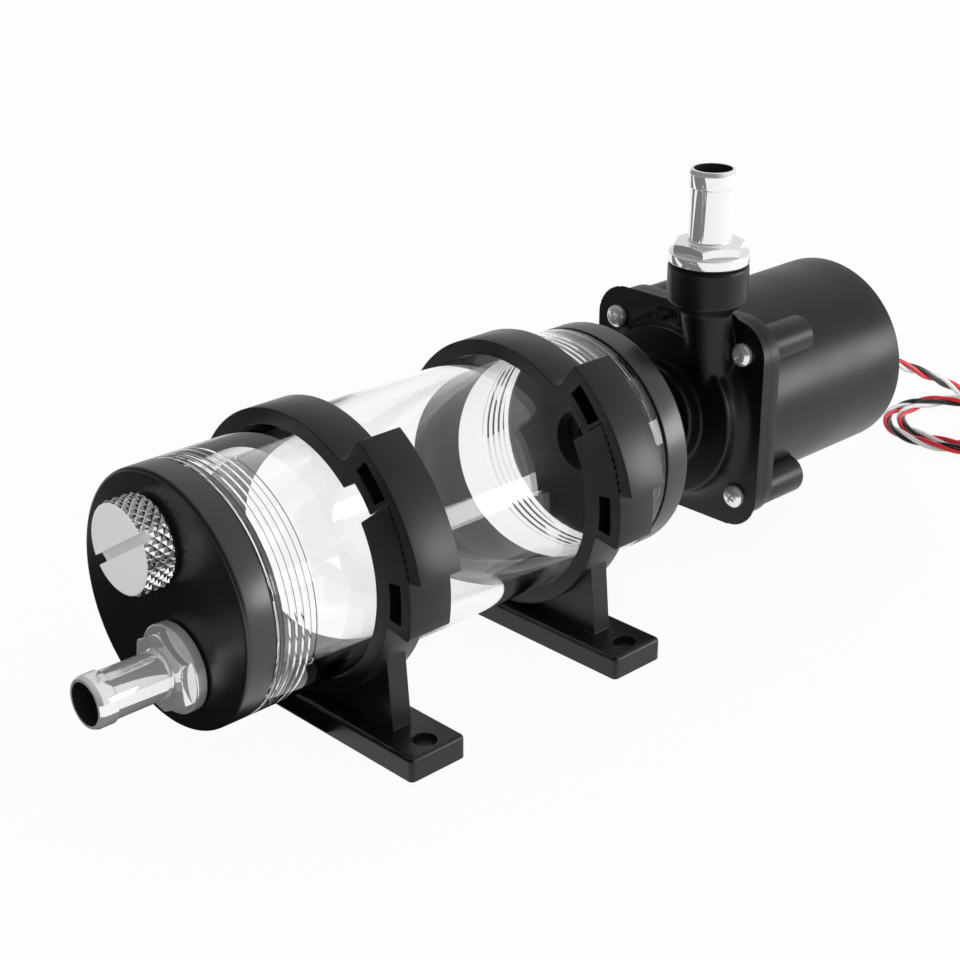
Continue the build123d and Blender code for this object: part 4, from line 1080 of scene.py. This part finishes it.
class BuildMotor(bpy.types.Operator):
    """Motor housing, its rear cover and the cable's grommet"""

    bl_idname = "reservoir.build_motor"
    bl_label = "Motor"

    def execute(self, context):
        sizes, finishes = read_settings(context)
        black = finishes["pump_black"]
        low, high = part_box("motor_housing")
        flange_x = low.x + FLANGE_THICKNESS
        axis = tube_line(0)
        body = [(low.x, 0), (low.x, MOTOR_RADIUS), (high.x, MOTOR_RADIUS), (high.x, 0)]
        housing = plate(low.x, flange_x, high.y - low.y, sizes.plate_corner, (0.1 * MM, EDGE), black)
        housing.name = "motor_shell"
        fuse(housing, turned("body", axis, ALONG_X, body, black, LARGE_STEPS))
        end = FLANGE_THICKNESS / 2 + POST_LENGTH
        post = rounded_outline([(0, 0, 0), (0, POST_RADIUS, 0), (end, POST_RADIUS, 0.35 * MM), (end, 0, 0)])
        for corner in screw_places(flange_x - FLANGE_THICKNESS / 2, axis):
            fuse(housing, turned("post", corner, ALONG_X, post, black, SMALL_STEPS))
        cut(housing, rod(tube_line(low.x - MM), ALONG_X, HOUSING_BORE, high.x - low.x + 2 * MM, 128))
        smooth(housing)
        finish_piece(housing, "reservoir", "pump_plastic", "motor_housing")
        exit_line = middle("cable_grommet")
        self.build_cover(exit_line, black)
        self.build_grommet(exit_line, finishes["rubber"])
        return {"FINISHED"}

    @staticmethod
    def build_cover(exit_line, black):
        """Rear cover with a shallow dish and the cable's hole."""
        low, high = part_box("motor_end_cap")
        thickness = high.x - low.x
        dish, fit = thickness - COVER_DISH, HOUSING_BORE - 0.05 * MM
        corners = [
            (0, 0, 0),
            (0, fit, EDGE),
            (COVER_SHOULDER, fit, 0),
            (COVER_SHOULDER, MOTOR_RADIUS, 0),
            (thickness, MOTOR_RADIUS, EDGE),
            (thickness, MOTOR_RADIUS - COVER_RIM, EDGE),
            (dish, MOTOR_RADIUS - COVER_RIM - 0.6 * MM, EDGE),
            (dish, 0, 0),
        ]
        cover = turned("motor_cover", tube_line(low.x), ALONG_X, rounded_outline(corners), black, COVER_STEPS)
        hole = (low.x - MM, exit_line.y, exit_line.z)
        cut(cover, rod(hole, ALONG_X, GROMMET_RADIUS, thickness + 2 * MM, SMALL_STEPS))
        smooth(cover)
        finish_piece(cover, "reservoir", "pump_plastic", "motor_end_cap")

    @staticmethod
    def build_grommet(exit_line, rubber):
        """Rubber grommet with a collar outside the cover."""
        low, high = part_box("cable_grommet")
        length = high.x - low.x
        collar = length - 1.6 * MM
        corners = [
            (0, GROMMET_HOLE, 0),
            (0, GROMMET_RADIUS, 0.2 * MM),
            (collar - 0.5 * MM, GROMMET_RADIUS, 0),
            (collar - 0.5 * MM, GROMMET_COLLAR, 0.15 * MM),
            (collar + 0.3 * MM, GROMMET_COLLAR, EDGE),
            (length, 2.6 * MM, 0.35 * MM),
            (length, GROMMET_HOLE, 0.1 * MM),
        ]
        start = (low.x, exit_line.y, exit_line.z)
        outline = rounded_outline(corners, True)
        grommet = turned("cable_exit_grommet", start, ALONG_X, outline, rubber, SMALL_STEPS, True)
        finish_piece(grommet, "reservoir", "seal_rubber", "cable_grommet")


class BuildScrews(bpy.types.Operator):
    """Cross-recessed pan head screws of the pump head"""

    bl_idname = "reservoir.build_screws"
    bl_label = "Screws"

    def execute(self, context):
        finishes = read_settings(context)[1]
        metal, satin = finishes["screw_metal"], finishes["satin_metal"]
        low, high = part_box("head_screws")
        length = high.x - low.x
        outline = rounded_outline(
            [
                (0, 0, 0),
                (0, 0.9 * MM, 0),
                (0.22 * MM, 1.7 * MM, 0.9 * MM),
                (0.95 * MM, SCREW_RADIUS - 0.05 * MM, 0.5 * MM),
                (SCREW_HEIGHT, SCREW_RADIUS, 0.1 * MM),
                (SCREW_HEIGHT, 1.9 * MM, 0),
                (length, 1.9 * MM, EDGE),
                (length, 0, 0),
            ]
        )
        screws = []
        for place, start in enumerate(screw_places(low.x, (low + high) / 2)):
            screw = turned("screw", start, ALONG_X, outline, metal, SMALL_STEPS)
            for quarter in (0, 90):
                turn = Matrix.Rotation(radians(quarter + FIRST_TURN + NEXT_TURN * place), 3, "X")
                cut(screw, self.wing(start, turn, satin))
            screws.append(screw)
        group = join("pan_head_screws", screws)
        smooth(group)
        finish_piece(group, "reservoir", "screw_steel", "head_screws")
        return {"FINISHED"}

    @staticmethod
    def wing(start, turn, material):
        """Tapered bar of a cross recess."""
        vertices = []
        for depth, half_length, half_width in RECESS:
            for way_y, way_z in ((-1, -1), (1, -1), (1, 1), (-1, 1)):
                corner = Vector((depth, way_y * half_length, way_z * half_width)) * MM
                vertices.append(start + turn @ corner)
        sides = row_faces([range(4), range(4, 8), range(8, 12)])
        return make_mesh("wing", vertices, [(0, 1, 2, 3), (11, 10, 9, 8), *sides], [material])


def coil_points(turns):
    """Loose turns that widen outwards from where the cable comes down over them."""
    total = 360 * turns + COIL_END_ANGLE - COIL_START_ANGLE
    count = int(total / 360 * POINTS_PER_TURN)
    points = []
    for step in range(count + 1):
        share = step / count
        angle = radians(COIL_START_ANGLE + total * share)
        arrival = 1 - ease(min(1, share * turns / COIL_SETTLING))
        waver = COIL_WAVER * sin(3.1 * angle)
        radius = COIL_INNER + (COIL_OUTER - COIL_INNER) * share + ARRIVAL_WIDTH * arrival + waver
        centre_x = COIL_CENTRE[0] + COIL_DRIFT[0] * sin(angle / 2 + 1)
        centre_y = COIL_CENTRE[1] + COIL_DRIFT[1] * cos(angle / 2)
        height = COIL_HEIGHT + ARRIVAL_HEIGHT * arrival
        points.append((centre_x + radius * cos(angle), centre_y + radius * sin(angle), height))
    return points


class BuildCable(bpy.types.Operator):
    """Twisted three-wire cable, loosely coiled, with its plug"""

    bl_idname = "reservoir.build_cable"
    bl_label = "Cable"

    def execute(self, context):
        sizes, finishes = read_settings(context)
        controls = [*CABLE_LEAD, *coil_points(sizes.coil_turns), *CABLE_TAIL]
        line = self.read_line([Vector(point) * MM for point in controls])
        line = self.even_steps(line, CABLE_STEP)
        wires = [finishes["wire_red"], finishes["wire_white"], finishes["wire_black"]]
        cable = self.twist(line, sizes.wire_radius, sizes.wire_twist, wires)
        wears("cable_connector", finishes["dark_plastic"])
        round_edges("cable_connector", CONNECTOR_EDGE, 2)
        finish_piece(cable, "reservoir", "cable_insulation", "cable_lead", "cable_coil", "cable_tail")
        return {"FINISHED"}

    @staticmethod
    def read_line(controls):
        """Points of the smooth route through the control points."""
        curve = bpy.data.curves.new("route", "CURVE")
        curve.dimensions = "3D"
        curve.resolution_u = 16
        spline = curve.splines.new("NURBS")
        spline.points.add(len(controls) - 1)
        for point, control in zip(spline.points, controls):
            point.co = (*control, 1)
        spline.order_u = 3
        spline.use_endpoint_u = True
        route = add_object("route", curve)
        graph = bpy.context.evaluated_depsgraph_get()
        mesh = bpy.data.meshes.new_from_object(route.evaluated_get(graph))
        line = [vertex.co.copy() for vertex in mesh.vertices]
        bpy.data.meshes.remove(mesh)
        bpy.data.objects.remove(route)
        bpy.data.curves.remove(curve)
        return line

    @staticmethod
    def even_steps(line, step):
        """The same line with points a step apart."""
        points, left = [line[0]], step
        for before, after in zip(line, line[1:]):
            length = (after - before).length
            walked = left
            while walked <= length:
                points.append(before.lerp(after, walked / length))
                walked += step
            left = walked - length
        if (line[-1] - points[-1]).length > step * 0.3:
            points.append(line[-1])
        else:
            points[-1] = line[-1]
        return points

    @staticmethod
    def carry_sides(line):
        """The line's way at each point, and a side direction that turns as little as it can."""
        ways = [(b - a).normalized() for a, b in zip(line, line[1:])]
        ways.append(ways[-1])
        side = ways[0].orthogonal().normalized()
        sides = []
        for way in ways:
            side = (side - way * side.dot(way)).normalized()
            sides.append(side)
        return ways, sides

    def twist(self, line, radius, pitch, wires):
        """Three round wires wound about the line."""
        ways, sides = self.carry_sides(line)
        offset = radius * 2 / sqrt(3)
        vertices, faces, owners = [], [], []
        for wire in range(3):
            centres = []
            walked = 0
            for place, point in enumerate(line):
                if place:
                    walked += (point - line[place - 1]).length
                angle = 2 * pi * (walked / pitch + wire / 3)
                other = ways[place].cross(sides[place])
                centres.append(point + offset * (cos(angle) * sides[place] + sin(angle) * other))
            rows = []
            for centre, way, side in zip(centres, *self.carry_sides(centres)):
                rows.append(range(len(vertices), len(vertices) + WIRE_STEPS))
                vertices += ring_points(centre, radius, side, way.cross(side), WIRE_STEPS)
            skin = capped_faces(rows)
            faces += skin
            owners += [wire] * len(skin)
        return make_mesh("three_wire_cable", vertices, faces, wires, CABLE_CREASE, owners)


class DressInnerParts(bpy.types.Operator):
    """Finishes of the pump's inner parts"""

    bl_idname = "reservoir.dress_inner_parts"
    bl_label = "Inner parts"

    def execute(self, context):
        finishes = read_settings(context)[1]
        for node, finish in (
            ("impeller", "white_plastic"),
            ("rotor_magnet", "ferrite"),
            ("rotor_bushes", "bearing"),
            ("thrust_washers", "bearing"),
            ("pump_shaft", "shaft"),
            ("isolation_can", "dark_plastic"),
            ("stator_core", "lamination"),
            ("stator_coils", "copper"),
            ("stator_insulators", "dark_plastic"),
            ("control_board", "board"),
        ):
            wears(node, finishes[finish])
        return {"FINISHED"}


class BuildStage(bpy.types.Operator):
    """Floor, lamps, backdrop and camera"""

    bl_idname = "reservoir.build_stage"
    bl_label = "Stage"

    def execute(self, context):
        scene, stage = context.scene, context.scene.reservoir_stage
        self.build_floor()
        self.build_world(scene, stage)
        self.softbox("key_softbox", stage.key_place, tube_line(KEY_TARGET), KEY_SIZE, stage.key_power)
        self.black_card()
        lens = bpy.data.cameras.new("camera")
        lens.lens = stage.lens
        lens.sensor_width = SENSOR_WIDTH
        lens.clip_start = NEAREST
        lens.clip_end = FARTHEST
        camera = add_object("camera", lens)
        camera.location = stage.camera_place
        camera.rotation_euler = stage.camera_turn
        scene.camera = camera
        scene.view_settings.view_transform = "Standard"
        return {"FINISHED"}

    @staticmethod
    def level_face(name, outline, height, material):
        """One level face."""
        mesh = bpy.data.meshes.new(name)
        mesh.from_pydata([(x, y, height) for x, y in outline], [], [tuple(range(len(outline)))])
        mesh.materials.append(material)
        return add_object(name, mesh)

    def build_floor(self):
        """White floor that fades into the white backdrop and keeps a faint shadow."""
        material, tree, shader, place = finish_nodes("studio_floor")
        tint = add_tint(tree, add_noise(tree, place, 3, 2), FLOOR_COLOUR, 0.01)
        fill(tree, shader, {"Base Color": tint, "Roughness": 0.9})
        glow = add_node(tree, "Emission", {"Strength": 1})
        path = add_node(tree, "LightPath").outputs
        seen = add_math(tree, "MAXIMUM", path["Is Camera Ray"], path["Is Transmission Ray"])
        seen = add_math(tree, "MAXIMUM", seen, path["Is Glossy Ray"])
        share = add_math(tree, "MULTIPLY", seen, FLOOR_GLOW)
        mix_surface(tree, share, shader.outputs["BSDF"], glow.outputs["Emission"])
        outline = [(way_x * FLOOR_REACH, way_y * FLOOR_REACH) for way_x, way_y in ((-1, -1), (1, -1), (1, 1), (-1, 1))]
        self.level_face("floor", outline, 0, material)

    @staticmethod
    def build_world(scene, stage):
        """White to the eye and through glass, even light for the rest, and a studio with a dark side in reflections."""
        world = bpy.data.worlds.new("studio")
        world.use_nodes = True
        scene.world = world
        tree = world.node_tree
        path = add_node(tree, "LightPath").outputs
        direction = add_node(tree, "TexCoord").outputs["Generated"]
        facing = add_node(tree, "VectorMath", {0: direction, 1: SKY_BRIGHT_WAY.normalized()}, operation="DOT_PRODUCT")
        limits = {
            "Value": facing.outputs["Value"],
            "From Min": SKY_TURNS[0],
            "From Max": SKY_TURNS[1],
            "To Min": stage.sky_dark,
            "To Max": stage.sky_bright,
        }
        gradient = add_node(tree, "MapRange", limits, interpolation_type="SMOOTHSTEP").outputs["Result"]
        even = add_node(tree, "Mix", {"Factor": path["Is Glossy Ray"], "A": stage.sky, "B": gradient})
        clear = add_math(tree, "MAXIMUM", path["Is Camera Ray"], path["Is Transmission Ray"])
        strength = add_node(tree, "Mix", {"Factor": clear, "A": even.outputs["Result"], "B": 1})
        fill(tree, tree.nodes["Background"], {"Color": (1, 1, 1, 1), "Strength": strength.outputs["Result"]})

    @staticmethod
    def softbox(name, place, target, size, power):
        """Rectangular soft light that faces a point."""
        lamp = bpy.data.lights.new(name, "AREA")
        lamp.shape = "RECTANGLE"
        lamp.size, lamp.size_y = size
        lamp.energy = power
        box = add_object(name, lamp)
        box.location = place
        box.rotation_euler = (Vector(target) - Vector(place)).to_track_quat("-Z", "Y").to_euler()

    def black_card(self):
        """Black card on the floor behind the inlet side that only reflections see."""
        felt = solid_finish("card_felt", (0.01, 0.01, 0.01), 0.9, gloss=0)
        card = self.level_face("black_card", CARD_OUTLINE, CARD_LIFT, felt)
        card.visible_camera = False
        card.visible_diffuse = False
        card.visible_transmission = False
        card.visible_shadow = False


class ReservoirPanel(bpy.types.Panel):
    """Lists the pieces of the reservoir"""

    bl_idname = "VIEW3D_PT_reservoir"
    bl_label = "Coolant Reservoir"
    bl_space_type = "VIEW_3D"
    bl_region_type = "UI"
    bl_category = "Reservoir"

    def draw(self, context):
        for operator in OPERATORS:
            self.layout.operator(operator.bl_idname)
        for group in SETTINGS:
            settings = getattr(context.scene, group)
            box = self.layout.box()
            for name in settings.bl_rna.properties.keys():
                if name not in ("rna_type", "name"):
                    box.prop(settings, name)


OPERATORS = (
    BuildTube,
    BuildEndCaps,
    BuildFillPlug,
    BuildHoseBarbs,
    DressClamps,
    BuildCoupler,
    BuildPumpHead,
    BuildMotor,
    BuildScrews,
    BuildCable,
    DressInnerParts,
    BuildStage,
)
SETTINGS = {
    "reservoir_sizes": ReservoirSizes,
    "reservoir_finishes": ReservoirFinishes,
    "reservoir_stage": ReservoirStage,
}


def register():
    for name, group in SETTINGS.items():
        bpy.utils.register_class(group)
        setattr(bpy.types.Scene, name, PointerProperty(type=group))
    for operator in OPERATORS:
        bpy.utils.register_class(operator)
    bpy.utils.register_class(ReservoirPanel)


def unregister():
    bpy.utils.unregister_class(ReservoirPanel)
    for operator in reversed(OPERATORS):
        bpy.utils.unregister_class(operator)
    for name, group in reversed(SETTINGS.items()):
        delattr(bpy.types.Scene, name)
        bpy.utils.unregister_class(group)


def main():
    """Registers the add-on and builds everything."""
    register()
    for operator in OPERATORS:
        group, name = operator.bl_idname.split(".")
        getattr(getattr(bpy.ops, group), name)()


if __name__ == "__main__":
    main()
